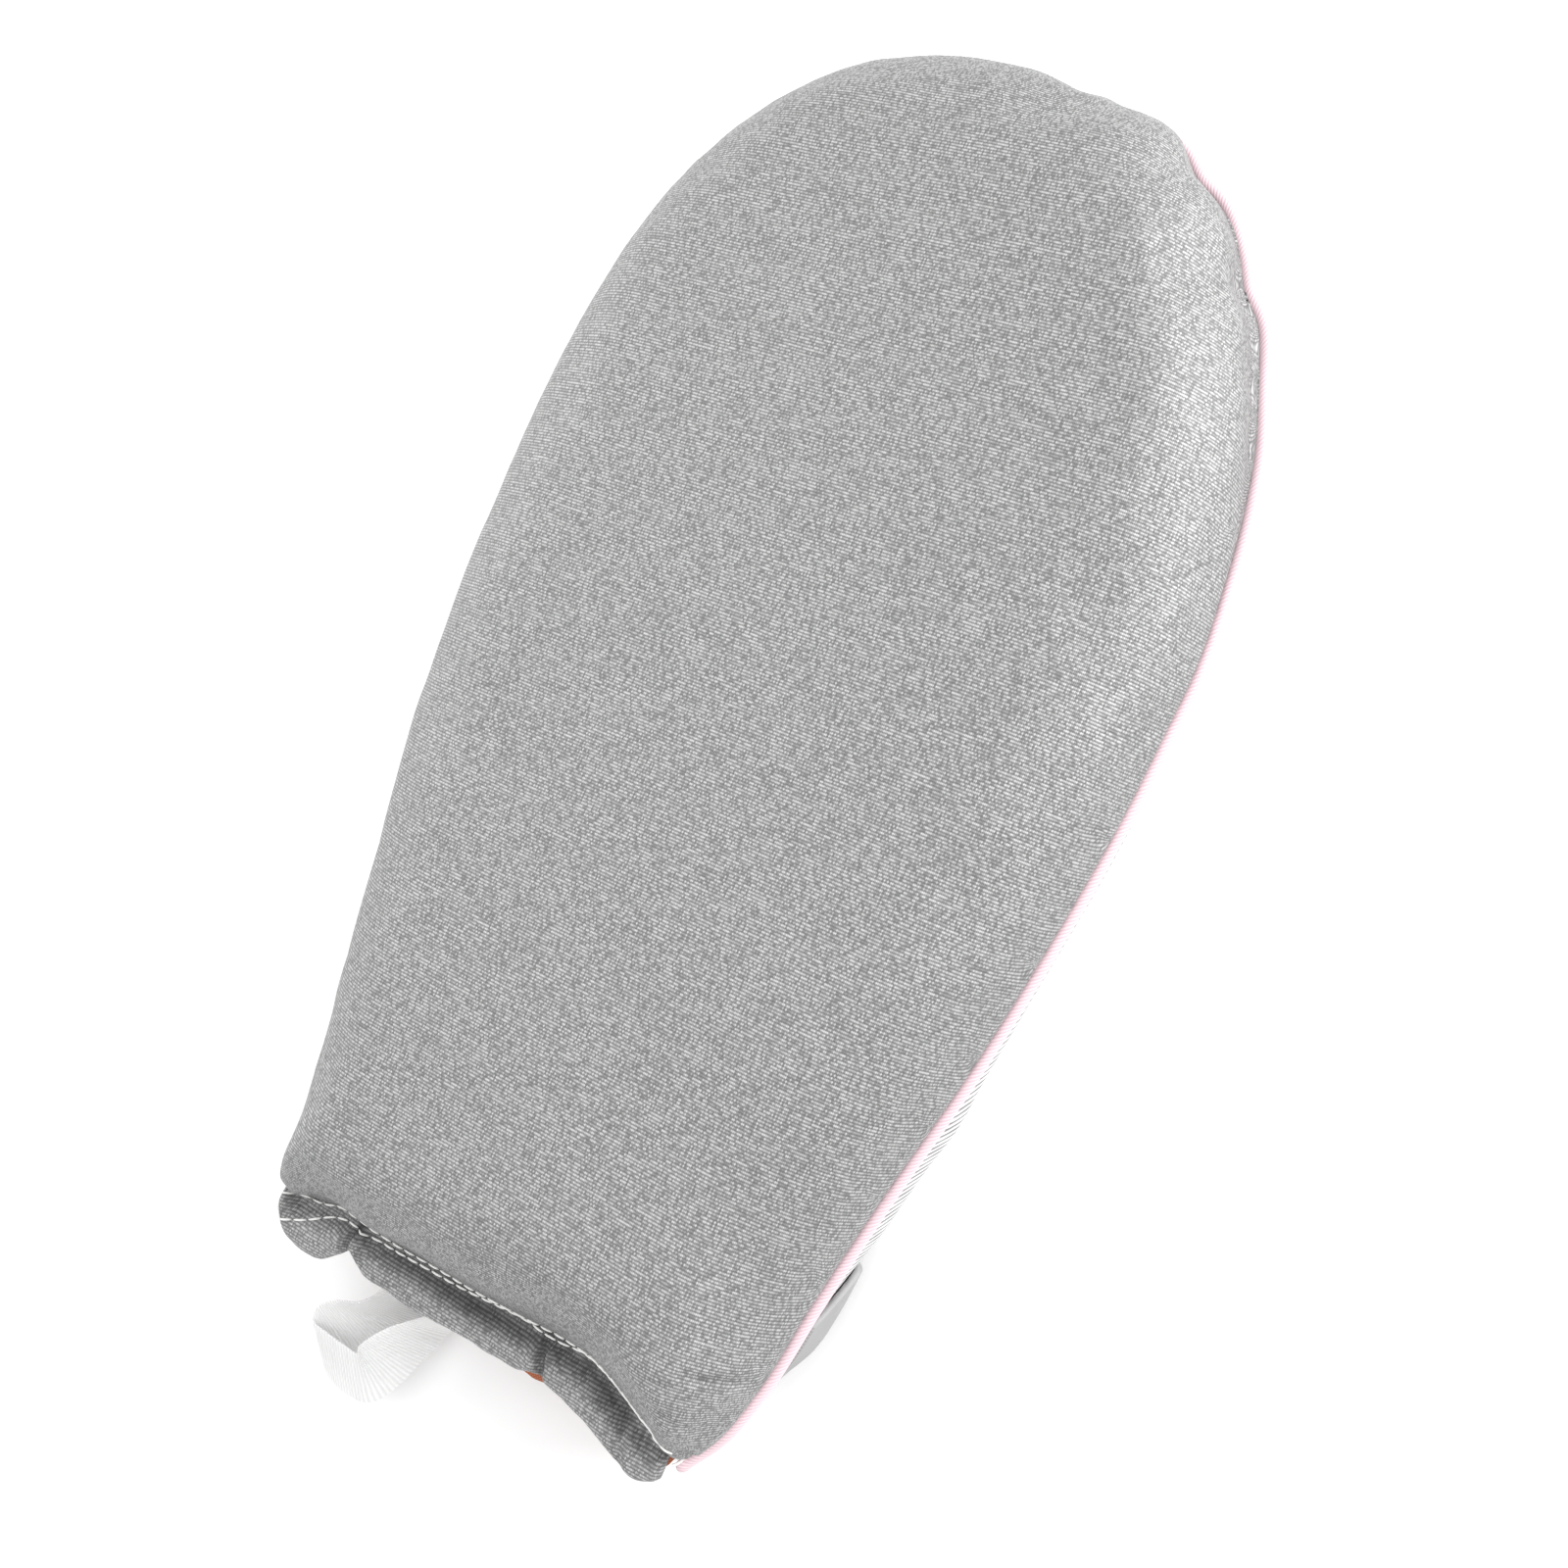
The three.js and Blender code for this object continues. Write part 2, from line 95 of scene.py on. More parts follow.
# On the right the cord also lies a little outside the seam, most of all beside the tip.
PipingPull = namedtuple("PipingPull", "y out")
PIPING_PULL = (
    PipingPull(-138, 0),
    PipingPull(-110, 0.5),
    PipingPull(-40, 0.6),
    PipingPull(40, 0.6),
    PipingPull(55, 0.9),
    PipingPull(70, 1.4),
    PipingPull(82, 1.7),
    PipingPull(93, 1.4),
    PipingPull(105, 1.9),
    PipingPull(112, 1.5),
    PipingPull(119, 0.4),
    PipingPull(127, 0.7),
    PipingPull(134, 0.8),
    PipingPull(142, 0),
)
PULLED_X = (30, 44)

# At the cuff the seam's place is taken by the hem: its stitch line and its free edge, from left to right,
# and how far the hem is lifted at its two folds.
Cuff = namedtuple("Cuff", "x stitch edge lift")
CUFF = (
    Cuff(-60.0, -133.4, -137.0, 0),
    Cuff(-57.4, -133.0, -140.9, 0),
    Cuff(-53, -132.0, -142.8, 0),
    Cuff(-46, -130.4, -142.6, 0),
    Cuff(-41.5, -130.6, -139.6, 0.6),
    Cuff(-38.8, -131.2, -137.2, 1.2),
    Cuff(-36, -131.3, -139.6, 0.4),
    Cuff(-26, -130.9, -140.8, 0),
    Cuff(-6, -130.8, -140.2, 0),
    Cuff(6, -130.0, -139.6, 0.5),
    Cuff(10.5, -129.6, -138.4, 1.3),
    Cuff(14.5, -129.6, -139.2, 0.4),
    Cuff(22, -130.2, -140.8, 0),
    Cuff(31, -133.2, -143.8, 0),
    Cuff(38, -136.0, -145.6, 0),
    Cuff(42.8, -137.0, -143.6, 0),
)
PAD_CORNER_RIGHT = ((47.4, -135.2), (45.6, -137.0))
PAD_CORNER_LEFT = ((-56.0, -132.6), (-59.3, -130.6))
CUFF_LINE_X = (41, -52)
CUFF_LINE_POINTS = 20

ironing_face = next(mount for mount in frame["record"]["mounts"] if mount["name"] == "ironing_face")
SEAM_SLOPE = -ironing_face["axis"][1] / ironing_face["axis"][2]
SEAM_AT_MIDDLE = ironing_face["pos_m"][2] / MM - PAD_RISE


def seam_height(y):
    return SEAM_AT_MIDDLE + SEAM_SLOPE * y


def smoothstep(value, low, high):
    share = np.clip((value - low) / (high - low), 0, 1)
    return share * share * (3 - 2 * share)


def smooth_curve(places, values):
    """A smooth curve through numbers or points, each at its own place."""
    places = np.array(places, float)
    values = np.array(values, float)
    slopes = np.gradient(values, places, axis=0)

    def at(place):
        place = np.asarray(place, float)
        i = np.clip(np.searchsorted(places, place) - 1, 0, len(places) - 2)
        gap = places[i + 1] - places[i]
        t = np.clip((place - places[i]) / gap, 0, 1)
        if values.ndim > 1:
            gap = gap[..., None]
            t = t[..., None]
        start = (1 + 2 * t) * (1 - t) ** 2 * values[i] + t * (1 - t) ** 2 * gap * slopes[i]
        end = t * t * (3 - 2 * t) * values[i + 1] + t * t * (t - 1) * gap * slopes[i + 1]
        return start + end

    return at


def column(rows, place, value):
    """One column of a table as a smooth curve over another of its columns."""
    return smooth_curve([getattr(row, place) for row in rows], [getattr(row, value) for row in rows])


def lengths_along(line):
    return np.concatenate([[0], np.cumsum(np.linalg.norm(np.diff(line, axis=0), axis=1))])


def picked(line, along, places):
    """The points of a line at some places along it."""
    return np.stack([np.interp(places, along, line[:, k]) for k in range(line.shape[1])], axis=1)


def evenly(line, count):
    """The same line with count points, evenly spaced."""
    along = lengths_along(line)
    return picked(line, along, np.linspace(0, along[-1], count))


def outward(line):
    """The outward direction at each point of a line that runs clockwise seen from above."""
    run = np.gradient(line, axis=0)
    run /= np.linalg.norm(run, axis=1)[:, None]
    return np.stack([-run[:, 1], run[:, 0]], axis=1)


left_half = column(SIDES, "y", "left")
right_half = column(SIDES, "y", "right")
stitch_at = column(CUFF, "x", "stitch")


def seam_outline(side_steps, tip_steps):
    """The seam seen from above, with the same steps of y up both sides."""
    y = np.linspace(CUFF_Y, TIP_START_Y, side_steps + 1)[:-1]
    angle = np.linspace(math.pi, 0, TIP_SAMPLES)
    on_left = angle > math.pi / 2
    power = np.where(on_left, TIP_LEFT_POWER, TIP_RIGHT_POWER)
    half = np.where(on_left, left_half(TIP_START_Y), right_half(TIP_START_Y))
    tip_x = np.sign(np.cos(angle)) * half * np.abs(np.cos(angle)) ** (2 / power)
    tip_y = TIP_START_Y + TIP_REACH * np.sin(angle).clip(0) ** (2 / power)
    tip = evenly(np.stack([tip_x, tip_y], axis=1), tip_steps + 1)
    left = np.stack([-left_half(y), y], axis=1)
    right = np.stack([right_half(y), y], axis=1)[::-1]
    line = np.concatenate([left, tip, right])
    dent = np.zeros(len(line))
    for scallop in SCALLOPS:
        away = np.hypot(line[:, 0] - scallop.x, line[:, 1] - scallop.y) / scallop.spread
        dent += scallop.dent * np.exp(-away * away)
    dent *= smoothstep(line[:, 1], TIP_START_Y, TIP_START_Y + SCALLOP_RUN_IN)
    return line - outward(line) * dent[:, None]


def piping_pull(places):
    """How far the piping lies outside the seam at each place."""
    return column(PIPING_PULL, "y", "out")(places[:, 1]) * smoothstep(places[:, 0], *PULLED_X)


def cuff_line():
    """Where the pad ends at the cuff, from the right corner to the left one."""
    x = np.linspace(*CUFF_LINE_X, CUFF_LINE_POINTS)
    return np.concatenate([PAD_CORNER_RIGHT, np.stack([x, stitch_at(x)], axis=1), PAD_CORNER_LEFT])


# The silver front: cotton with an aluminium-pigment coating, drawn tight over a foam pad and sewn to
# the seam. The foam stays flat on top and rounds the shoulders; the cloth bulges over the piping and
# gathers a little where it is sewn down.
PAD_EDGE_RISE = 5.0
SHOULDER_WIDTH = 17.0
SHOULDER_STEPS = 60
PAD_SINK = 0.5
PAD_FULLNESS = ((-30, 2.0), (30, 0.4))
PAD_VOXEL = 3.4
PAD_SEWN_BELOW = 3.0
PAD_PRESSURE = 4.0
PAD_SLACK = -0.012
PAD_CAP = 1.6
PAD_FRAMES = 20
PAD_EVEN_ROUNDS = 8
GATHER_WIDTH = 7.0
GATHER_DEPTH = 0.55
GATHER_FADE = 7.0
PUSH_RISE = (0.5, 3.0)
# how far inside the seam line the cloth lies at each rise above the seam: all round, where the piping is
# bare, and at the cuff, where the cloth also leans in, so that the hem's stitches show from overhead
RIM_INSET = ((0, 1.2), (1.2, 0.6), (2.6, -0.2), (5.0, -0.5))
RIM_FADE = (3.0, 9.0)
BARE_RIM_INSET = ((0, 0.9), (1.2, 0.8), (2.6, 0.8), (5.0, 1.2), (9.0, 2.2), (13.0, 4.0))
BARE_RIM_FADE = (7.0, 13.0)
BARE_PIPING_Y = (55, 100)
PULL_RISE = (0.4, 3.2)
CUFF_RIM_INSET = ((0, -1.0), (1.2, -0.5), (2.6, 0.3), (5.0, 1.6), (9.0, 3.9))
CUFF_LEAN = ((0, 0), (5.0, 1.2), (8.0, 2.4), (12.4, 3.2), (16.0, 2.6), (19.4, 0))
CUFF_LEAN_NEAR = 6.0
CUFF_LEAN_FAR = 28.0
CUFF_CORNERS = ((-60, -49), (37, 47))
RIPPLE_WIDTH = 38.0
RIPPLE_DEPTH = 0.35
Crease = namedtuple("Crease", "x y to_x to_y depth width")
CREASES = (
    Crease(44.0, -117.5, 54.5, -116.0, 0.7, 1.1),
    Crease(40.0, -127.0, 49.0, -128.5, 0.4, 1.0),
    Crease(36.0, -122.0, 43.0, -121.0, 0.3, 1.0),
)
# a crease is deepest at its middle: its depth follows this part of a half wave
CREASE_START = 0.15
CREASE_RUN = 0.7
# how much painted shade a crease gets for its depth, for the shadow in it
CREASE_PAINTED_SHADE = 0.8
SPOTS_AT_ONCE = 4000


def mesh_piece(name, points_mm, faces):
    """A smooth-shaded mesh from points in millimetres."""
    mesh = bpy.data.meshes.new(name)
    mesh.from_pydata((np.asarray(points_mm) * MM).tolist(), [], faces)
    mesh.update()
    mesh.shade_smooth()
    piece = bpy.data.objects.new(name, mesh)
    bpy.context.scene.collection.objects.link(piece)
    return piece


def points_of(mesh):
    """A mesh's points in millimetres, one row each."""
    values = np.empty(len(mesh.vertices) * 3)
    mesh.vertices.foreach_get("co", values)
    return values.reshape(-1, 3) / MM


def move_points(mesh, points_mm):
    mesh.vertices.foreach_set("co", (points_mm * MM).ravel())
    mesh.update()


def normals_of(mesh):
    values = np.empty(len(mesh.vertices) * 3)
    mesh.vertex_normals.foreach_get("vector", values)
    return values.reshape(-1, 3)


def apply_modifiers(piece):
    """The piece keeps the shape that its modifiers give it, and loses the modifiers."""
    shaped = piece.evaluated_get(bpy.context.evaluated_depsgraph_get())
    piece.data = bpy.data.meshes.new_from_object(shaped)
    piece.modifiers.clear()
    piece.data.shade_smooth()


def spread_out(mesh, values, rounds):
    """Each point's values averaged with its neighbours', a number of times over."""
    ends = np.empty(len(mesh.edges) * 2, int)
    mesh.edges.foreach_get("vertices", ends)
    first, second = ends.reshape(-1, 2).T
    count = np.bincount(ends, minlength=len(values))[:, None]
    for _ in range(rounds):
        near = np.zeros_like(values)
        np.add.at(near, first, values[second])
        np.add.at(near, second, values[first])
        values = (values + near / count) / 2
    return values


def puff_up(piece, sewn, pressure, slack, cap):
    """Cloth held at its sewn points and pressed out from inside, with each move held under a cap."""
    start = points_of(piece.data)
    held = piece.vertex_groups.new(name="sewn")
    held.add(np.flatnonzero(sewn).tolist(), 1.0, "REPLACE")
    cloth = piece.modifiers.new("cloth", "CLOTH")
    cloth.settings.vertex_group_mass = held.name
    cloth.settings.use_pressure = True
    cloth.settings.uniform_pressure_force = pressure
    cloth.settings.shrink_min = slack
    cloth.settings.effector_weights.gravity = 0
    cloth.point_cache.frame_end = PAD_FRAMES
    for step in range(1, PAD_FRAMES + 1):
        bpy.context.scene.frame_set(step)
    shaped = piece.evaluated_get(bpy.context.evaluated_depsgraph_get())
    move = points_of(shaped.data) - start
    bpy.context.scene.frame_set(1)
    piece.modifiers.clear()
    move = spread_out(piece.data, move, PAD_EVEN_ROUNDS)
    far = np.linalg.norm(move, axis=1)[:, None] + 1e-9
    move_points(piece.data, start + move / far * cap * np.tanh(far / cap))


def noise_at(points, width):
    """Smooth noise from -1 to 1 at each point, with bumps about as wide as width."""
    return np.array([noise.noise(Vector(point) / width) for point in points])


def lay_flat(piece, flat_mm):
    """Keeps where each point lies on the flat cloth, in millimetres, for the weave to follow."""
    flat = np.zeros((len(piece.data.vertices), 3))
    flat[:, :2] = flat_mm
    attribute = piece.data.attributes.new("cloth_mm", "FLOAT_VECTOR", "POINT")
    attribute.data.foreach_set("vector", flat.ravel())


def mark_painted_shade(piece, amounts):
    """Keeps how much painted shade darkens the cloth's coat at each point: the shadow in creases and
    beside the hem's stitches.
    """
    attribute = piece.data.attributes.new("pressed", "FLOAT", "POINT")
    attribute.data.foreach_set("value", amounts)


def nearest_on(line, spots):
    """For each spot: its distance inside a closed line, the direction inwards, and the line's step."""
    run = np.roll(line, -1, axis=0) - line
    step = np.empty(len(spots), int)
    inside = np.empty(len(spots))
    inward = np.stack([run[:, 1], -run[:, 0]], axis=1) / np.linalg.norm(run, axis=1)[:, None]
    for part in np.array_split(np.arange(len(spots)), len(spots) // SPOTS_AT_ONCE + 1):
        apart = spots[part, None] - line
        share = np.clip((apart * run).sum(axis=2) / (run * run).sum(axis=1), 0, 1)
        away = apart - share[..., None] * run
        step[part] = (away ** 2).sum(axis=2).argmin(axis=1)
        away = away[np.arange(len(part)), step[part]]
        inside[part] = (away * inward[step[part]]).sum(axis=1)
    return inside, inward[step], step


def wrapped_length(drop):
    """How much longer the cloth down the shoulder is than its width seen from above."""
    turns = np.linspace(0, math.pi / 2, SHOULDER_STEPS)
    height = PAD_RISE - PAD_EDGE_RISE
    profile = np.stack([SHOULDER_WIDTH * np.sin(turns), height * (1 - np.cos(turns))], axis=1)
    extra = lengths_along(profile) - profile[:, 0]
    below = np.clip(drop - height, 0, None)
    return np.interp(drop, profile[:, 1], extra) + below


cover = bpy.data.objects.new("silver_cover", frame["nodes"]["front_pad"].data.copy())
bpy.context.scene.collection.objects.link(cover)
cover.data.materials.clear()
points = points_of(cover.data)
fullness = np.interp(points[:, 0], *zip(*PAD_FULLNESS))
points += normals_of(cover.data) * np.column_stack([fullness, fullness, np.full(len(points), -PAD_SINK)])
move_points(cover.data, points)
remesh = cover.modifiers.new("remesh", "REMESH")
remesh.mode = "VOXEL"
remesh.voxel_size = PAD_VOXEL * MM
apply_modifiers(cover)
points = points_of(cover.data)
rise = points[:, 2] - seam_height(points[:, 1])
puff_up(cover, rise < PAD_SEWN_BELOW, PAD_PRESSURE, PAD_SLACK, PAD_CAP)
subdivision = cover.modifiers.new("subdivision", "SUBSURF")
subdivision.levels = 2
apply_modifiers(cover)

points = points_of(cover.data)
normals = normals_of(cover.data)
sideways = normals[:, :2] / (np.linalg.norm(normals[:, :2], axis=1)[:, None] + 1e-6)
rise = points[:, 2] - seam_height(points[:, 1])
level = points * (1, 1, 0)
gathers = noise_at(level, GATHER_WIDTH) * GATHER_DEPTH * np.exp(-rise.clip(0) / GATHER_FADE)
ripples = noise_at(level, RIPPLE_WIDTH) * RIPPLE_DEPTH
push = gathers + ripples
# painted shade along each crease, darkest where the crease is deepest
pressed = np.zeros(len(points))
for crease in CREASES:
    start = np.array([crease.x, crease.y])
    run = np.array([crease.to_x, crease.to_y]) - start
    share = np.clip((points[:, :2] - start) @ run / (run @ run), 0, 1)
    away = np.linalg.norm(points[:, :2] - start - share[:, None] * run, axis=1)
    along = np.sin(math.pi * (CREASE_START + CREASE_RUN * share))
    dip = crease.depth * np.exp(-(away / crease.width) ** 2) * along
    push -= dip
    pressed += CREASE_PAINTED_SHADE * dip ** 2
push *= smoothstep(rise, *PUSH_RISE)
move_points(cover.data, points + normals * push[:, None])

points = points_of(cover.data)
rise = points[:, 2] - seam_height(points[:, 1])
between = smoothstep(points[:, 0], *CUFF_CORNERS[0])
between *= 1 - smoothstep(points[:, 0], *CUFF_CORNERS[1])
from_cuff = points[:, 1] - stitch_at(points[:, 0].clip(CUFF[0].x, CUFF[-1].x))
lean = between * (1 - smoothstep(from_cuff, CUFF_LEAN_NEAR, CUFF_LEAN_FAR))
points[:, 1] += lean * np.interp(rise, *zip(*CUFF_LEAN))
rise = points[:, 2] - seam_height(points[:, 1])
bare = smoothstep(points[:, 1], *BARE_PIPING_Y) * smoothstep(points[:, 0], *PULLED_X)
side_line = seam_outline(*OUTLINE_STEPS)
low = np.flatnonzero(rise < BARE_RIM_FADE[1])
inside, inward, step = nearest_on(np.concatenate([side_line, cuff_line()]), points[low, :2])
wanted = np.interp(rise[low], *zip(*RIM_INSET))
wanted += bare[low] * (np.interp(rise[low], *zip(*BARE_RIM_INSET)) - wanted)
wanted -= piping_pull(points[low]) * (1 - smoothstep(rise[low], *PULL_RISE))
at_cuff = between[low] * (step >= len(side_line))
wanted += at_cuff * (np.interp(rise[low], *zip(*CUFF_RIM_INSET)) - wanted)
hold = 1 - smoothstep(rise[low], *RIM_FADE)
hold += bare[low] * (1 - smoothstep(rise[low], *BARE_RIM_FADE) - hold)
points[low, :2] += inward * ((wanted - inside) * hold)[:, None]
move_points(cover.data, points)
drop = (PAD_RISE - rise).clip(0)
lay_flat(cover, points[:, :2] + sideways * wrapped_length(drop)[:, None])
mark_painted_shade(cover, pressed)

THREAD_MM = 0.333
ROW_MM = 0.656
WANDER_MM = 0.15
WANDER_PER_MM = 0.16
COAT_LIGHT = "D6D6D6"
COAT_DARK = "303030"
# the painted shade's colour and strength, for the shadow in creases and beside the hem's stitches
COAT_PAINTED_SHADE = "161616"
PAINTED_SHADE_STRENGTH = 0.7
CROWN_HEIGHT = 0.4
WEAVE_MIDDLE = 0.7
RELIEF_TONE = 0.1
RELIEF_TONE_VARIES = 0.45
BASE_TONE = 0.19
CROWN_TONE = 0.36
SLUB_TONE = 0.04
WEAVE_RELIEF_MM = 0.09
SLUB_PER_MM = (0.5, 2.6, 1)
# a Mix node in colour mode takes its factor and colours from these sockets
MIX_FACTOR, MIX_FIRST, MIX_SECOND, MIX_COLOUR = 0, 6, 7, 2
# a Wave node's bands repeat every 2 pi / 20 units at scale 1
BAND_UNIT = math.pi / 10


def linear(hex_colour):
    """An sRGB hex colour as the linear colour that the shaders use."""
    parts = [int(hex_colour[i:i + 2], 16) / 255 for i in (0, 2, 4)]
    return [c / 12.92 if c <= 0.04045 else ((c + 0.055) / 1.055) ** 2.4 for c in parts] + [1]


def new_material(name):
    material = bpy.data.materials.new(name)
    material.use_nodes = True
    return material


def add_node(material, kind, inputs=None, **settings):
    """A node with its settings, and its sockets set to values or linked from other nodes' outputs."""
    node = material.node_tree.nodes.new(kind)
    for name, value in settings.items():
        setattr(node, name, value)
    for socket, value in (inputs or {}).items():
        if isinstance(value, bpy.types.NodeSocket):
            material.node_tree.links.new(value, node.inputs[socket])
        else:
            node.inputs[socket].default_value = value
    return node


def wire_surface(material, **inputs):
    """Sets or links the sockets of the material's own Principled shader."""
    shader = material.node_tree.nodes["Principled BSDF"]
    for name, value in inputs.items():
        socket = shader.inputs[name.replace("_", " ")]
        if isinstance(value, bpy.types.NodeSocket):
            material.node_tree.links.new(value, socket)
        else:
            socket.default_value = value


# Cotton in a plain weave under a thin coat of aluminium pigment: a dull silver grey. The threads' crowns
# take the pigment unevenly, so light and dark ones lie side by side as a fine grain, in rows across the
# glove. In the creases and beside the hem's stitches and folds, painted shade darkens the coat for the
# shadow there.
silver_cloth = new_material("aluminium_coated_cotton")
cloth_place = add_node(silver_cloth, "ShaderNodeAttribute", attribute_name="cloth_mm").outputs["Vector"]
drift = add_node(
    silver_cloth, "ShaderNodeTexNoise",
    {"Vector": cloth_place, "Scale": WANDER_PER_MM, "Detail": 1},
)
thread_place = add_node(
    silver_cloth, "ShaderNodeVectorMath",
    {0: drift.outputs["Color"], 1: (WANDER_MM, WANDER_MM, 0), 2: cloth_place},
    operation="MULTIPLY_ADD",
).outputs["Vector"]
rows = add_node(
    silver_cloth, "ShaderNodeTexWave",
    {"Vector": thread_place, "Scale": BAND_UNIT / ROW_MM},
    bands_direction="Y",
)
crowns = add_node(
    silver_cloth, "ShaderNodeTexWave",
    {"Vector": thread_place, "Scale": BAND_UNIT / THREAD_MM},
    bands_direction="X",
)
weave = add_node(
    silver_cloth, "ShaderNodeMath",
    {0: crowns.outputs["Fac"], 1: CROWN_HEIGHT, 2: rows.outputs["Fac"]},
    operation="MULTIPLY_ADD",
).outputs[0]
crown = add_node(
    silver_cloth, "ShaderNodeVectorMath",
    {0: thread_place, 1: (THREAD_MM, ROW_MM, 1)},
    operation="SNAP",
)
crown_tone = add_node(silver_cloth, "ShaderNodeTexWhiteNoise", {"Vector": crown.outputs["Vector"]})
slubs = add_node(silver_cloth, "ShaderNodeMapping", {"Vector": cloth_place, "Scale": SLUB_PER_MM})
slub_tone = add_node(
    silver_cloth, "ShaderNodeTexNoise",
    {"Vector": slubs.outputs["Vector"], "Scale": 1.0, "Detail": 2, "Roughness": 0.6},
)
strength = add_node(
    silver_cloth, "ShaderNodeMath",
    {0: crown_tone.outputs["Value"], 1: RELIEF_TONE_VARIES, 2: RELIEF_TONE},
    operation="MULTIPLY_ADD",
)
raised = add_node(silver_cloth, "ShaderNodeMath", {0: weave, 1: -WEAVE_MIDDLE}, operation="ADD")
woven = add_node(
    silver_cloth, "ShaderNodeMath",
    {0: raised.outputs[0], 1: strength.outputs[0], 2: BASE_TONE},
    operation="MULTIPLY_ADD",
)
grain = add_node(
    silver_cloth, "ShaderNodeMath",
    {0: crown_tone.outputs["Value"], 1: CROWN_TONE, 2: woven.outputs[0]},
    operation="MULTIPLY_ADD",
)
tone = add_node(
    silver_cloth, "ShaderNodeMath",
    {0: slub_tone.outputs["Fac"], 1: SLUB_TONE, 2: grain.outputs[0]},
    operation="MULTIPLY_ADD", use_clamp=True,
)
# painted shade: the coat colour is darkened where the points hold painted shade, in creases and beside the
# hem's stitches
pressed = add_node(silver_cloth, "ShaderNodeAttribute", attribute_name="pressed").outputs["Fac"]
shade = add_node(silver_cloth, "ShaderNodeMath", {0: pressed, 1: PAINTED_SHADE_STRENGTH}, operation="MULTIPLY")
open_colour = add_node(
    silver_cloth, "ShaderNodeMix",
    {MIX_FACTOR: tone.outputs[0], MIX_FIRST: linear(COAT_DARK), MIX_SECOND: linear(COAT_LIGHT)},
    data_type="RGBA",
)
coat_colour = add_node(
    silver_cloth, "ShaderNodeMix",
    {
        MIX_FACTOR: shade.outputs[0],
        MIX_FIRST: open_colour.outputs[MIX_COLOUR],
        MIX_SECOND: linear(COAT_PAINTED_SHADE),
    },
    data_type="RGBA",
)
relief = add_node(
    silver_cloth, "ShaderNodeBump",
    {"Height": weave, "Strength": 0.5, "Distance": WEAVE_RELIEF_MM * MM},
)
wire_surface(
    silver_cloth,
    Base_Color=coat_colour.outputs[MIX_COLOUR],
    Metallic=0.35,
    Roughness=0.55,
    Normal=relief.outputs["Normal"],
)
cover.data.materials.append(silver_cloth)
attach(cover, "root")
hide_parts("front_pad")

# The hem at the cuff: the same silver cloth turned under twice into a soft band. It is pinched at two
# places, where the band dips and its free edge pulls back.
HemPoint = namedtuple("HemPoint", "along up")
HEM_SECTION = (
    HemPoint(0, 0.3),
    HemPoint(0, 0.8),
    HemPoint(0.14, 0.9),
    HemPoint(0.29, 1.0),
    HemPoint(0.42, 2.0),
    HemPoint(0.58, 3.2),
    HemPoint(0.76, 3.7),
    HemPoint(0.92, 3.1),
    HemPoint(1, 1.8),
    HemPoint(0.98, 0.8),
    HemPoint(0.9, 0.3),
    HemPoint(0.45, 0.3),
)
HEM_TUCK = 1.4
HEM_CORNER = (-60, -55.5)
HEM_CORNER_TUCK = 4.5
HEM_CORNER_RISE = 4.0
HEM_STEP = 0.4
HEM_ROUND_END = 1.4
HEM_END_START = 0.15
HEM_END_WIDTH = 0.8
HEM_BOTTOM = 0.3
HEM_LIFT_FROM = (0.1, 0.6)
HEM_PUCKER_WIDTH = 5.0
HEM_PUCKER_DEPTH = 0.5
HEM_PUCKER_SWELL = 0.35
HEM_SECTION_STEPS = 36
HEM_SECTION_SAMPLES = 200
Fold = namedtuple("Fold", "x lean depth width")
# painted shade for the pad's shadow in the hollow beside the stitches: how dark at each x, where it rises
# and fades beyond the stitch line, and how dark in the pinched folds
PaintedShade = namedtuple("PaintedShade", "x amount")
HEM_PAINTED_SHADE = (
    PaintedShade(-60, 0.25),
    PaintedShade(-52, 0.35),
    PaintedShade(-46, 0.45),
    PaintedShade(-36, 0.5),
    PaintedShade(-27, 0.85),
    PaintedShade(0, 1.0),
    PaintedShade(12, 0.75),
    PaintedShade(20, 0.95),
    PaintedShade(28, 1.0),
    PaintedShade(35, 0.6),
    PaintedShade(43, 0.3),
)
PAINTED_SHADE_RISE = (-1.0, 0.6)
PAINTED_SHADE_FALL = (2.4, 7.5)
FOLD_PAINTED_SHADE = 0.8
HEM_FOLDS = (
    Fold(-39.4, 0.12, 0.62, 0.9),
    Fold(-33.0, 0.3, 0.2, 1.6),
    Fold(10.0, -0.2, 0.6, 0.9),
    Fold(15.5, 0.35, 0.25, 1.4),
    Fold(31.0, -0.3, 0.25, 1.3),
)


def loft(loops):
    """Points and faces of a body that runs through closed loops, with a fan over each end."""
    count = len(loops[0])
    points = np.concatenate([np.concatenate(loops), [loops[0].mean(axis=0), loops[-1].mean(axis=0)]])
    faces = []
    for row in range(len(loops) - 1):
        for i in range(count):
            following = (i + 1) % count
            faces.append((row * count + i, row * count + following,
                          (row + 1) * count + following, (row + 1) * count + i))
    last = (len(loops) - 1) * count
    for i in range(count):
        following = (i + 1) % count
        faces.append((following, i, len(points) - 2))
        faces.append((last + i, last + following, len(points) - 1))
    return points, faces


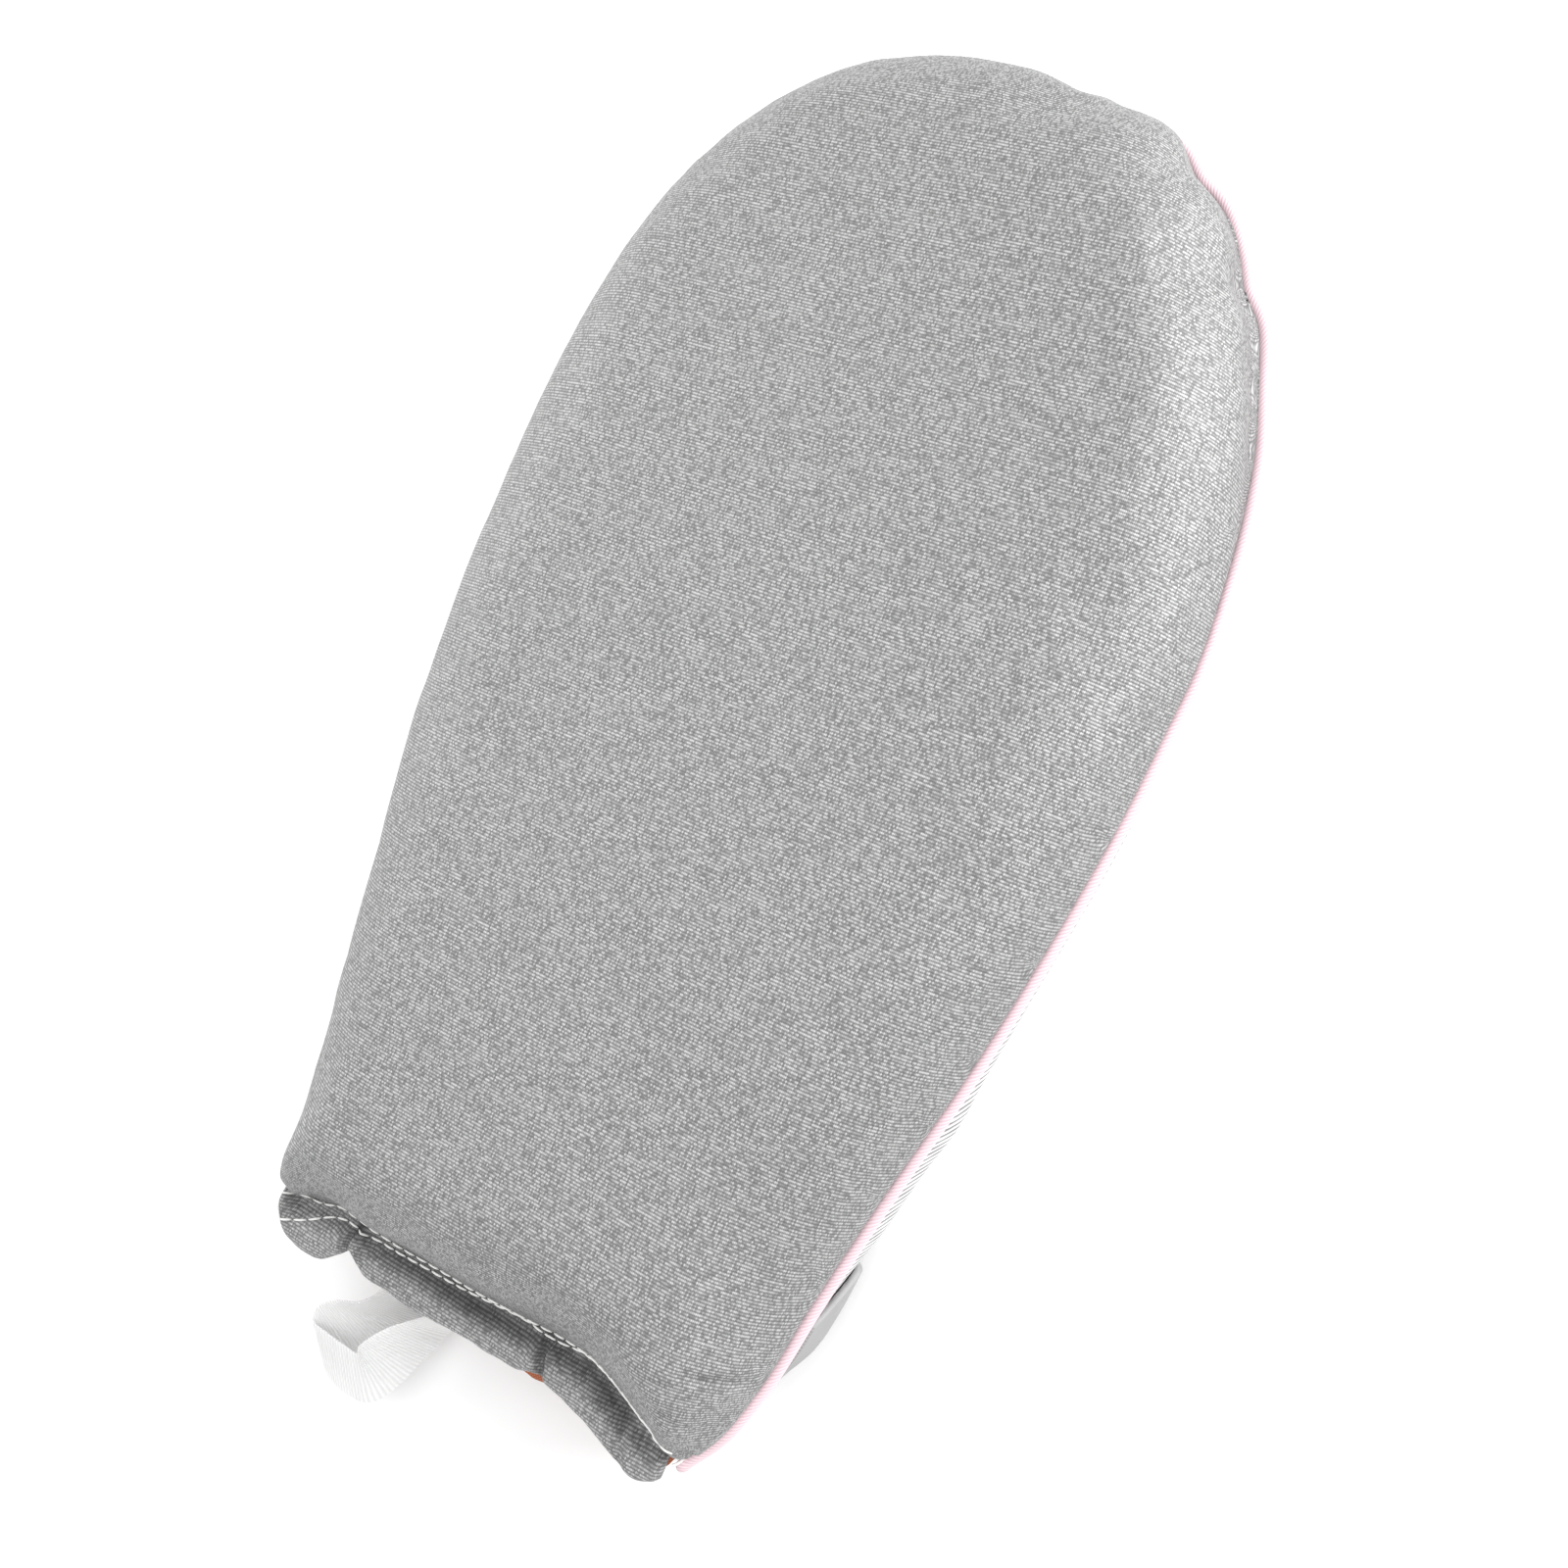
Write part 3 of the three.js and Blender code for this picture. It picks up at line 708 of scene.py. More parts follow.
edge_at = column(CUFF, "x", "edge")
lift_at = column(CUFF, "x", "lift")
section = np.array(HEM_SECTION)
section = np.concatenate([section, section[:1]])
section_curve = smooth_curve(range(len(section)), section)
section = section_curve(np.linspace(0, len(section) - 1, HEM_SECTION_SAMPLES))
section = evenly(section, HEM_SECTION_STEPS + 1)[:-1]
places = np.arange(CUFF[0].x, CUFF[-1].x + HEM_STEP / 2, HEM_STEP)
painted_shade_at = column(HEM_PAINTED_SHADE, "x", "amount")
pressed = []
loops = []
for x in places:
    from_end = min(x - CUFF[0].x, CUFF[-1].x - x) + HEM_END_START
    fullness = math.sqrt(1 - (1 - min(from_end / HEM_ROUND_END, 1)) ** 2)
    pucker = noise.noise(Vector((x / HEM_PUCKER_WIDTH, 0.5, 0))) * HEM_PUCKER_DEPTH
    along = 0.5 + (section[:, 0] - 0.5) * (HEM_END_WIDTH + (1 - HEM_END_WIDTH) * fullness)
    corner = 1 - smoothstep(x, *HEM_CORNER)
    start = stitch_at(x) + HEM_TUCK + HEM_CORNER_TUCK * corner
    y = start + (edge_at(x) + pucker - start) * along
    pinch = sum(fold.depth * np.exp(-((x - fold.x - fold.lean * (y - start)) / fold.width) ** 2)
                for fold in HEM_FOLDS)
    swell = fullness * (1 + HEM_PUCKER_SWELL * pucker) * (1 - pinch)
    up = HEM_BOTTOM + (section[:, 1] - HEM_BOTTOM) * swell
    up += (lift_at(x) * smoothstep(section[:, 0], *HEM_LIFT_FROM)).clip(0)
    up += HEM_CORNER_RISE * corner * fullness * (1 - along).clip(0)
    z = seam_height(y) + up
    loops.append(np.stack([np.full(len(y), x), y, z], axis=1))
    # painted shade: a band just beyond the stitch line, and more in the pinched folds
    from_stitch = stitch_at(x) - y
    band = smoothstep(from_stitch, *PAINTED_SHADE_RISE) * (1 - smoothstep(from_stitch, *PAINTED_SHADE_FALL))
    pressed.append((painted_shade_at(x) * band + FOLD_PAINTED_SHADE * pinch).clip(0, 1))
hem = mesh_piece("silver_hem", *loft(loops))
lay_flat(hem, points_of(hem.data)[:, :2])
mark_painted_shade(hem, np.concatenate([*pressed, [0, 0]]))
hem.data.materials.append(silver_cloth)
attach(hem, "root")
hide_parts("front_hem")

# The lining: one sheet of terracotta cotton under the pad, the upper wall of the pocket. A sliver of it
# shows below the hem's folds.
LINING_TOP = -0.2
LINING_THICKNESS = 1.0
LINING_INSET = 2.1
LINING_EDGE = ((42.6, -141.4), (34.6, -141.4), (26, -139.9), (14, -139.9), (10, -140.6), (4, -139.9),
               (-20, -139.4), (-32, -138.6), (-38.8, -136.4), (-46, -138.6), (-52, -138.6))
LINING_EDGE_POINTS = 120
LINING_THREAD_MM = 0.333
LINING_LIGHT = "C47A58"
LINING_DARK = "9A5238"

outline = seam_outline(*OUTLINE_STEPS)
rim = outline - outward(outline) * LINING_INSET
edge = evenly(np.array([rim[-1], *LINING_EDGE, rim[0]]), LINING_EDGE_POINTS)[1:-1]
ring = np.concatenate([rim, edge])
heights = seam_height(ring[:, 1])
under = np.column_stack([ring, heights + LINING_TOP - LINING_THICKNESS])
over = np.column_stack([ring, heights + LINING_TOP])
lining = mesh_piece("cotton_lining", *loft([under, over]))
lay_flat(lining, points_of(lining.data)[:, :2])

# Plain cotton, dyed terracotta: matt, with a fine even weave.
lining_cloth = new_material("dyed_cotton")
cloth_place = add_node(lining_cloth, "ShaderNodeAttribute", attribute_name="cloth_mm").outputs["Vector"]
pair_scale = BAND_UNIT / (2 * LINING_THREAD_MM)
swings = []
for direction in ("X", "Y"):
    threads = add_node(
        lining_cloth, "ShaderNodeTexWave",
        {"Vector": cloth_place, "Scale": pair_scale, "Distortion": 0.8, "Detail Scale": 0.6},
        bands_direction=direction,
    )
    swing = add_node(lining_cloth, "ShaderNodeMath", {0: threads.outputs["Fac"], 1: -0.5}, operation="ADD")
    swings.append(swing.outputs[0])
crossed = add_node(lining_cloth, "ShaderNodeMath", {0: swings[0], 1: swings[1]}, operation="MULTIPLY")
weave = add_node(
    lining_cloth, "ShaderNodeMath",
    {0: crossed.outputs[0], 1: 2.0, 2: 0.5},
    operation="MULTIPLY_ADD",
).outputs[0]
lining_colour = add_node(
    lining_cloth, "ShaderNodeMix",
    {MIX_FACTOR: weave, MIX_FIRST: linear(LINING_DARK), MIX_SECOND: linear(LINING_LIGHT)},
    data_type="RGBA",
)
relief = add_node(
    lining_cloth, "ShaderNodeBump",
    {"Height": weave, "Strength": 0.5, "Distance": WEAVE_RELIEF_MM * MM},
)
wire_surface(
    lining_cloth,
    Base_Color=lining_colour.outputs[MIX_COLOUR],
    Roughness=0.9,
    Normal=relief.outputs["Normal"],
)
lining.data.materials.append(lining_cloth)
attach(lining, "root")
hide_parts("lining")

# The topstitching: two rows of white polyester thread hold the hem down. They part at the left corner,
# and a short tail of thread lies at either corner.
StitchPoint = namedtuple("StitchPoint", "x y")
STITCH_ROWS = {
    "upper": (
        StitchPoint(-60.2, -133.6), StitchPoint(-56.1, -133.1), StitchPoint(-50.8, -132.5),
        StitchPoint(-46.5, -131.2), StitchPoint(-41.9, -131.3), StitchPoint(-32.0, -131.8),
        StitchPoint(-21.7, -131.6), StitchPoint(-11.0, -131.2), StitchPoint(-2.4, -130.5),
        StitchPoint(9.5, -130.1), StitchPoint(18.3, -129.2), StitchPoint(23.5, -129.0),
        StitchPoint(29.7, -131.6), StitchPoint(37.7, -134.3), StitchPoint(47.8, -135.0),
    ),
    "lower": (
        StitchPoint(-57.6, -139.0), StitchPoint(-52.5, -136.9), StitchPoint(-46.1, -133.4),
        StitchPoint(-41.9, -132.6), StitchPoint(-38.9, -132.9), StitchPoint(-32.0, -132.9),
        StitchPoint(-21.7, -132.6), StitchPoint(-11.0, -132.1), StitchPoint(-2.4, -131.3),
        StitchPoint(3.8, -130.8), StitchPoint(9.5, -131.1), StitchPoint(13.7, -130.9),
        StitchPoint(23.5, -129.9), StitchPoint(28.0, -131.4), StitchPoint(30.6, -133.3),
        StitchPoint(35.5, -134.4), StitchPoint(45.2, -137.0),
    ),
}
THREAD_TAILS = (
    ((-59.4, -135.0), (-59.0, -136.6), (-58.2, -137.9), (-57.6, -139.0)),
    ((45.4, -136.6), (45.6, -137.8), (45.0, -138.8), (44.2, -139.6)),
)
STITCH_LENGTH = 2.7
STITCH_GAP = 0.55
THREAD_RADIUS = 0.25
THREAD_SIDES = 6
THREAD_LIFT = 0.4
TAIL_POINTS = 16
TAIL_RADIUS = 0.3
STITCH_BEND = 0.22
STITCH_TAPER = (0.5, 0.9, 1, 1, 1, 0.9, 0.5)
STITCH_POINTS = len(STITCH_TAPER)
STITCH_HELD = [0, STITCH_POINTS // 2, STITCH_POINTS - 1]
ROW_SAMPLES = 600
ROW_POINTS = 1200
DROP_FROM = 60.0
THREAD_COLOUR = "F2F2F0"


def surface_tree(pieces):
    """One tree of several pieces' faces, for laying things on them."""
    points = []
    faces = []
    for piece in pieces:
        faces += [[i + len(points) for i in face.vertices] for face in piece.data.polygons]
        points += [vertex.co for vertex in piece.data.vertices]
    return BVHTree.FromPolygons(points, faces)


def laid_on(tree, places):
    """Each place (x, y) in millimetres as a point on top of the pieces under it."""
    laid = []
    for x, y in places:
        hit = tree.ray_cast(Vector((x, y, DROP_FROM)) * MM, Vector((0, 0, -1)))[0]
        laid.append((x, y, hit.z / MM if hit else seam_height(y) + 1))
    return np.array(laid)


def thread_loops(line, radius, sides):
    """Rings round a line, of one radius or of one for each point, for a length of thread or cord."""
    run = np.gradient(line, axis=0)
    run /= np.linalg.norm(run, axis=1)[:, None]
    side = np.cross(run, (0, 0, 1))
    side /= np.linalg.norm(side, axis=1)[:, None]
    up = np.cross(side, run)
    turns = np.linspace(0, 2 * math.pi, sides, endpoint=False)
    loops = []
    for i, centre in enumerate(line):
        reach = radius[i] if np.ndim(radius) else radius
        ring = np.outer(np.cos(turns), side[i]) + np.outer(np.sin(turns), up[i])
        loops.append(centre + reach * ring)
    return loops


def joined(parts):
    """Points and faces of several bodies as one mesh."""
    points = []
    faces = []
    for part_points, part_faces in parts:
        faces += [tuple(i + len(points) for i in face) for face in part_faces]
        points += list(part_points)
    return points, faces


ground = surface_tree([cover, hem])
stitches = []
taper = np.array(STITCH_TAPER) * THREAD_RADIUS
bend = np.sin(np.linspace(0, math.pi, STITCH_POINTS)) * STITCH_BEND
for row in STITCH_ROWS.values():
    knots = np.array(row)
    at_knot = lengths_along(knots)
    curve = smooth_curve(at_knot, knots)(np.linspace(0, at_knot[-1], ROW_SAMPLES))
    path = evenly(curve, ROW_POINTS)
    along = lengths_along(path)
    place = 0.0
    while place + STITCH_LENGTH < along[-1]:
        spots = np.linspace(place, place + STITCH_LENGTH, STITCH_POINTS)
        line = laid_on(ground, picked(path, along, spots))
        cloth_height = np.interp(spots, spots[STITCH_HELD], line[STITCH_HELD, 2])
        line[:, 2] = cloth_height + bend + THREAD_RADIUS * THREAD_LIFT
        stitches.append(loft(thread_loops(line, taper, THREAD_SIDES)))
        place += STITCH_LENGTH + STITCH_GAP
for tail in THREAD_TAILS:
    line = laid_on(ground, evenly(np.array(tail), TAIL_POINTS)) + (0, 0, THREAD_RADIUS)
    stitches.append(loft(thread_loops(line, TAIL_RADIUS, THREAD_SIDES)))
thread = mesh_piece("hem_stitches", *joined(stitches))

# Spun polyester thread: white and slightly glossy.
thread_finish = new_material("spun_polyester_thread")
wire_surface(thread_finish, Base_Color=linear(THREAD_COLOUR), Roughness=0.5, Sheen_Weight=0.2)
thread.data.materials.append(thread_finish)
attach(thread, "root")

# The piping: a cord in a bias-cut strip of pink satin, sewn into the seam all round. It starts at the
# pad's left corner and ends beside the hem's right corner.
PIPING_RADIUS = 1.4
PIPING_SIDES = 20
PIPING_STEPS = 900
PIPING_OUTLINE_STEPS = (200, 400)
PIPING_LEFT_END_Y = -129.6
PIPING_RIGHT_END = (45.2, -140.2)
PIPING_UNEVEN = 0.05
PIPING_UNEVEN_WIDTH = 6.0
PIPING_END_RUN = 2.0
SATIN_RIB_MM = 0.32
SATIN_RELIEF_MM = 0.12
SATIN_LIGHT = "EBD2D8"
SATIN_DARK = "D8B9C1"

outline = seam_outline(*PIPING_OUTLINE_STEPS)
path = outline[(outline[:, 0] > 0) | (outline[:, 1] > PIPING_LEFT_END_Y)]
path += outward(path) * piping_pull(path)[:, None]
path = evenly(np.concatenate([path, [PIPING_RIGHT_END]]), PIPING_STEPS)
line = np.column_stack([path, seam_height(path[:, 1])])
along = lengths_along(line)
from_end = np.minimum(along, along[-1] - along)
thick = PIPING_RADIUS * (1 + PIPING_UNEVEN * noise_at(line, PIPING_UNEVEN_WIDTH))
thick *= np.clip(from_end / PIPING_END_RUN + 0.5, 0, 1)
piping = mesh_piece("satin_piping", *loft(thread_loops(line, thick, PIPING_SIDES)))
turn = np.tile(np.arange(PIPING_SIDES) / PIPING_SIDES, PIPING_STEPS)
run = np.repeat(along, PIPING_SIDES)
flat = np.stack([turn * 2 * math.pi * PIPING_RADIUS, run], axis=1)
lay_flat(piping, np.concatenate([flat, flat[[0, -1]]]))

# Satin cut on the bias: fine slanting ribs with a soft sheen.
satin = new_material("bias_cut_satin")
cloth_place = add_node(satin, "ShaderNodeAttribute", attribute_name="cloth_mm").outputs["Vector"]
ribs = add_node(
    satin, "ShaderNodeTexWave",
    {"Vector": cloth_place, "Scale": BAND_UNIT / SATIN_RIB_MM / math.sqrt(2), "Distortion": 0.8},
    bands_direction="DIAGONAL",
)
satin_colour = add_node(
    satin, "ShaderNodeMix",
    {MIX_FACTOR: ribs.outputs["Fac"], MIX_FIRST: linear(SATIN_DARK), MIX_SECOND: linear(SATIN_LIGHT)},
    data_type="RGBA",
)
relief = add_node(
    satin, "ShaderNodeBump",
    {"Height": ribs.outputs["Fac"], "Strength": 0.5, "Distance": SATIN_RELIEF_MM * MM},
)
wire_surface(
    satin,
    Base_Color=satin_colour.outputs[MIX_COLOUR],
    Roughness=0.45,
    Sheen_Weight=0.3,
    Normal=relief.outputs["Normal"],
)
piping.data.materials.append(satin)
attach(piping, "root")
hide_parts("piping")

# The back: white polyester warp-knit mesh, stitched to the seam all round and open at the cuff. It hangs
# from the seam as a shallow dish and lies flat where the glove rests on it.
BACK_THICKNESS = 1.6
BACK_RIM_BELOW_SEAM = 1.8
# the wall from its rim to the table: how far down, how far beyond the seam, and its share of the swell
Wall = namedtuple("Wall", "drop out swell")
BACK_WALL = (
    Wall(0, 0.4, 0.4),
    Wall(0.2, 0.5, 0.7),
    Wall(0.45, 0.3, 1),
    Wall(0.7, -0.6, 0.8),
    Wall(0.88, -2.6, 0.4),
    Wall(1, -6.5, 0),
)
Swell = namedtuple("Swell", "y swell")
BACK_SWELL = (
    Swell(-138, -1.4),
    Swell(-130, -3.4),
    Swell(-122, -3.9),
    Swell(-117, -2.8),
    Swell(-112, -1.0),
    Swell(-104, -0.1),
    Swell(-96, 0.6),
    Swell(-86, 1.5),
    Swell(-70, 1.8),
    Swell(-60, 2.2),
    Swell(-50, 1.2),
    Swell(-38, 0.7),
    Swell(0, 0.4),
    Swell(40, 0),
    Swell(145, 0),
)
STRAP_MIDDLE_Y = -106
STRAP_WIDTH = 25
STRAP_THICKNESS = 1.5
STRAP_GAP = 0.3
STRAP_LIFT_MARGIN = 2
STRAP_LIFT_RUN = 8
WALL_STEPS = 22
FLOOR_STEPS = 26
BACK_OUTLINE_STEPS = (150, 220)
KNIT_RIB_MM = 1.4
KNIT_EYE_MM = 5.0
KNIT_SLANT_DEG = 28
KNIT_EYE_SHARE = 0.2
KNIT_OPENING = (0.2, 0.75)
KNIT_RELIEF_MM = 0.35
# the yarn's white, and the painted shade seen through the openings
KNIT_WHITE = "E6E6E6"
KNIT_OPENING_SHADE = "707070"

swell_at = column(BACK_SWELL, "y", "swell")
wall_out = column(BACK_WALL, "drop", "out")
wall_swell = column(BACK_WALL, "drop", "swell")


def floor_height(y):
    """The underside of the back: on the table, and raised where the strap passes under it."""
    near = STRAP_MIDDLE_Y + STRAP_WIDTH / 2 + STRAP_LIFT_MARGIN
    far = STRAP_MIDDLE_Y - STRAP_WIDTH / 2 - STRAP_LIFT_MARGIN
    start = 1 - smoothstep(y, near, near + STRAP_LIFT_RUN)
    end = smoothstep(y, far - STRAP_LIFT_RUN, far)
    return (STRAP_THICKNESS + STRAP_GAP) * start * end


def back_wall(y):
    """The back's wall at one place: distance beyond the seam, and height."""
    drop = np.linspace(0, 1, WALL_STEPS)
    rim = seam_height(y) - BACK_RIM_BELOW_SEAM
    out = wall_out(drop) + swell_at(y) * wall_swell(drop)
    return np.stack([out, rim + (floor_height(y) - rim) * drop], axis=1)


def offset_profile(profile, distance):
    """A profile moved to its inner side."""
    run = np.gradient(profile, axis=0)
    run /= np.linalg.norm(run, axis=1)[:, None]
    inner = np.stack([run[:, 1], -run[:, 0]], axis=1)
    inner[0] = (-1, 0)
    return profile + inner * np.reshape(distance, (-1, 1))


def slab(outer, inner):
    """Points and faces of a sheet between two equal grids of points, open along its last column."""
    rows, columns = outer.shape[:2]
    count = rows * columns
    points = np.concatenate([outer.reshape(-1, 3), inner.reshape(-1, 3)])
    faces = []
    for i in range(rows - 1):
        for j in range(columns - 1):
            here = i * columns + j
            faces.append((here, here + 1, here + columns + 1, here + columns))
            here += count
            faces.append((here, here + columns, here + columns + 1, here + 1))
    for j in range(columns - 1):
        faces.append((j, count + j, count + j + 1, j + 1))
        here = (rows - 1) * columns + j
        faces.append((here, here + 1, count + here + 1, count + here))
    for i in range(rows - 1):
        here = i * columns
        faces.append((here, here + columns, count + here + columns, count + here))
        here += columns - 1
        faces.append((here, count + here, count + here + columns, here + columns))
    return points, faces


outline = seam_outline(*BACK_OUTLINE_STEPS)
outer = []
inner = []
flat = []
for x, y in outline:
    spine = np.array([0, min(y, TIP_START_Y)])
    reach = math.hypot(x - spine[0], y - spine[1])
    out = np.array([x - spine[0], y - spine[1]]) / reach
    wall = back_wall(y)
    shares = np.linspace(0, 1, FLOOR_STEPS + 1)[1:]
    foot, height = wall[-1]
    floor = np.stack([foot + (-reach - foot) * shares, np.full(FLOOR_STEPS, height)], axis=1)
    profile = np.concatenate([wall, floor])
    inside = offset_profile(profile, BACK_THICKNESS)
    inside[-1, 0] = -reach
    for side, grid in ((profile, outer), (inside, inner)):
        spots = np.array([x, y]) + out * side[:, :1]
        grid.append(np.column_stack([spots, side[:, 1]]))
    from_spine = lengths_along(profile)[-1] - lengths_along(profile)
    flat.append(spine + out * from_spine[:, None])
outer = np.array(outer)
inner = np.array(inner)
back = mesh_piece("mesh_back", *slab(outer, inner))
flat = np.array(flat).reshape(-1, 2)
lay_flat(back, np.concatenate([flat, flat]))

# Warp-knit polyester: white yarns in ribs that climb the wall at a slant, with narrow openings between
# them, painted grey as the shade seen through them.
knit = new_material("warp_knit_polyester")
cloth_place = add_node(knit, "ShaderNodeAttribute", attribute_name="cloth_mm").outputs["Vector"]
slanted = add_node(
    knit, "ShaderNodeMapping",
    {"Vector": cloth_place, "Rotation": (0, 0, math.radians(KNIT_SLANT_DEG))},
)
wales = add_node(
    knit, "ShaderNodeTexWave",
    {"Vector": slanted.outputs["Vector"], "Scale": BAND_UNIT / KNIT_RIB_MM, "Distortion": 0.8},
    bands_direction="Y",
)
courses = add_node(
    knit, "ShaderNodeTexWave",
    {"Vector": cloth_place, "Scale": BAND_UNIT / KNIT_EYE_MM, "Distortion": 0.6, "Detail Scale": 0.4},
    bands_direction="Y",
)
crossed = add_node(
    knit, "ShaderNodeMath",
    {0: courses.outputs["Fac"], 1: KNIT_EYE_SHARE, 2: wales.outputs["Fac"]},
    operation="MULTIPLY_ADD",
)
yarn = add_node(
    knit, "ShaderNodeMapRange",
    {"Value": crossed.outputs[0], "From Min": KNIT_OPENING[0], "From Max": KNIT_OPENING[1]},
    interpolation_type="SMOOTHSTEP",
)
knit_colour = add_node(
    knit, "ShaderNodeMix",
    {MIX_FACTOR: yarn.outputs["Result"], MIX_FIRST: linear(KNIT_OPENING_SHADE), MIX_SECOND: linear(KNIT_WHITE)},
    data_type="RGBA",
)
relief = add_node(
    knit, "ShaderNodeBump",
    {"Height": crossed.outputs[0], "Strength": 0.7, "Distance": KNIT_RELIEF_MM * MM},
)
wire_surface(
    knit,
    Base_Color=knit_colour.outputs[MIX_COLOUR],
    Roughness=0.6,
    Sheen_Weight=0.2,
    Normal=relief.outputs["Normal"],
)
back.data.materials.append(knit)
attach(back, "root")
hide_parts("back_panel")

# The wrist strap: a smooth grey woven elastic, 25 mm wide, sewn into the seam on both sides. It passes
# under the back near the cuff, slants up both walls towards the cuff and draws the mesh in there.
STRAP_SLACK = 1.5
STRAP_SLANT = 11
STRAP_SLANT_PART = 0.7
STRAP_ROWS = 30
STRAP_ACROSS_STEPS = 24
STRAP_LIGHT = "A6A6A6"
STRAP_DARK = "8E8E8E"
ELASTIC_RIB_MM = 0.7
ELASTIC_RELIEF_MM = 0.1

outer = []
inner = []
flat = []
drops = np.linspace(0, 1, WALL_STEPS)
for share in np.linspace(0, 1, STRAP_ROWS):
    middle = STRAP_MIDDLE_Y + STRAP_WIDTH * (share - 0.5)
    y = middle - STRAP_SLANT * (1 - smoothstep(drops, 0, STRAP_SLANT_PART))
    slack = STRAP_SLACK * math.sin(math.pi * share) * np.sin(math.pi * drops)
    for depth, grid in ((0, inner), (STRAP_THICKNESS, outer)):
        away = -(STRAP_GAP + slack + depth)
        side = np.array([offset_profile(back_wall(spot), away)[i] for i, spot in enumerate(y)])
        right = np.column_stack([right_half(y) + side[:, 0], y, side[:, 1]])
        left = np.column_stack([-left_half(y) - side[:, 0], y, side[:, 1]])
        across = np.linspace(left[-1], right[-1], STRAP_ACROSS_STEPS)[1:-1]
        grid.append(np.concatenate([left, across, right[::-1]]))
    along = lengths_along(grid[-1])
    flat.append(np.stack([along, np.full(len(along), middle)], axis=1))
strap = mesh_piece("elastic_strap", *slab(np.array(outer), np.array(inner)))
flat = np.array(flat).reshape(-1, 2)
lay_flat(strap, np.concatenate([flat, flat]))

# Woven elastic: even grey, with faint ribs along it.
elastic = new_material("woven_elastic")
cloth_place = add_node(elastic, "ShaderNodeAttribute", attribute_name="cloth_mm").outputs["Vector"]
ribs = add_node(
    elastic, "ShaderNodeTexWave",
    {"Vector": cloth_place, "Scale": BAND_UNIT / ELASTIC_RIB_MM, "Distortion": 0.5},
    bands_direction="Y",
)
strap_colour = add_node(
    elastic, "ShaderNodeMix",
    {MIX_FACTOR: ribs.outputs["Fac"], MIX_FIRST: linear(STRAP_DARK), MIX_SECOND: linear(STRAP_LIGHT)},
    data_type="RGBA",
)
relief = add_node(
    elastic, "ShaderNodeBump",
    {"Height": ribs.outputs["Fac"], "Strength": 0.3, "Distance": ELASTIC_RELIEF_MM * MM},
)
wire_surface(
    elastic,
    Base_Color=strap_colour.outputs[MIX_COLOUR],
    Roughness=0.55,
    Normal=relief.outputs["Normal"],
)
strap.data.materials.append(elastic)
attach(strap, "root")
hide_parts("wrist_strap")

# The hanging loop: white grosgrain ribbon folded into a loop, with both ends sewn under the hem. The
# ribbon has twisted, so that its loop leans and shows its inside.
Ribbon = namedtuple("Ribbon", "x y z across")
RIBBON_EDGE = (
    Ribbon(-17.2, -134.5, 18.6, (1, 0, 0)),
    Ribbon(-17.5, -138.5, 18.4, (1, 0, -0.15)),
    Ribbon(-19, -142.5, 18.2, (0.55, -0.1, -0.83)),
    Ribbon(-22.5, -146, 17.8, (0.22, -0.25, -0.92)),
    Ribbon(-26.5, -149.5, 17.5, (0.42, -0.3, -0.84)),
    Ribbon(-30.3, -154, 17, (0.55, -0.28, -0.78)),
    Ribbon(-32.8, -157.8, 16, (0.5, -0.55, -0.62)),
    Ribbon(-33.0, -159.6, 15.3, (0.22, -0.82, -0.5)),
    Ribbon(-37.4, -159.8, 15, (0.2, -0.86, -0.45)),
    Ribbon(-42.2, -159.8, 14.7, (0.2, -0.86, -0.46)),
    Ribbon(-46.9, -159.4, 14.4, (0.25, -0.8, -0.52)),
    Ribbon(-46.8, -155.8, 14.6, (0.6, -0.64, -0.48)),
    Ribbon(-42.6, -152.2, 15.5, (0.68, -0.46, -0.55)),
    Ribbon(-36.5, -149, 16.8, (0.65, -0.2, -0.72)),
    Ribbon(-32.5, -144.6, 17.4, (0.85, 0.1, -0.5)),
    Ribbon(-31.9, -140, 18.2, (1, 0, -0.2)),
    Ribbon(-31.7, -134.5, 18.6, (1, 0, 0)),
)
RIBBON_WIDTH = 14.0
RIBBON_THICKNESS = 0.7
RIB_MM = 0.85
RIB_RELIEF = 0.12
RIB_ROUNDNESS = 0.7
GROSGRAIN_RELIEF_MM = 0.25
RIBBON_STEP = 0.12
RIBBON_SAMPLES = 2000
RIBBON_ACROSS_STEPS = 14
RIBBON_WIDE_POWER = 0.35
RIBBON_DEEP_POWER = 0.5
RIBBON_WHITE = "F2F2F2"
RIBBON_SHADE = "D8D8D8"

stations = range(len(RIBBON_EDGE))
spots = np.linspace(0, stations[-1], RIBBON_SAMPLES)
across = smooth_curve(stations, [row.across for row in RIBBON_EDGE])(spots)
across *= RIBBON_WIDTH / 2 / np.linalg.norm(across, axis=1)[:, None]
centre = smooth_curve(stations, [row[:3] for row in RIBBON_EDGE])(spots) + across
along = lengths_along(centre)
even = np.linspace(0, along[-1], int(along[-1] / RIBBON_STEP))
across = picked(across, along, even)
centre = picked(centre, along, even)
along = even
across /= np.linalg.norm(across, axis=1)[:, None]
through = np.cross(np.gradient(centre, axis=0), across)
through /= np.linalg.norm(through, axis=1)[:, None]
rib = np.abs(np.sin(math.pi * along / RIB_MM)) ** RIB_ROUNDNESS
loops = []
angles = np.linspace(0, 2 * math.pi, 2 * RIBBON_ACROSS_STEPS, endpoint=False)
wide = np.sign(np.cos(angles)) * np.abs(np.cos(angles)) ** RIBBON_WIDE_POWER
deep = np.sign(np.sin(angles)) * np.abs(np.sin(angles)) ** RIBBON_DEEP_POWER
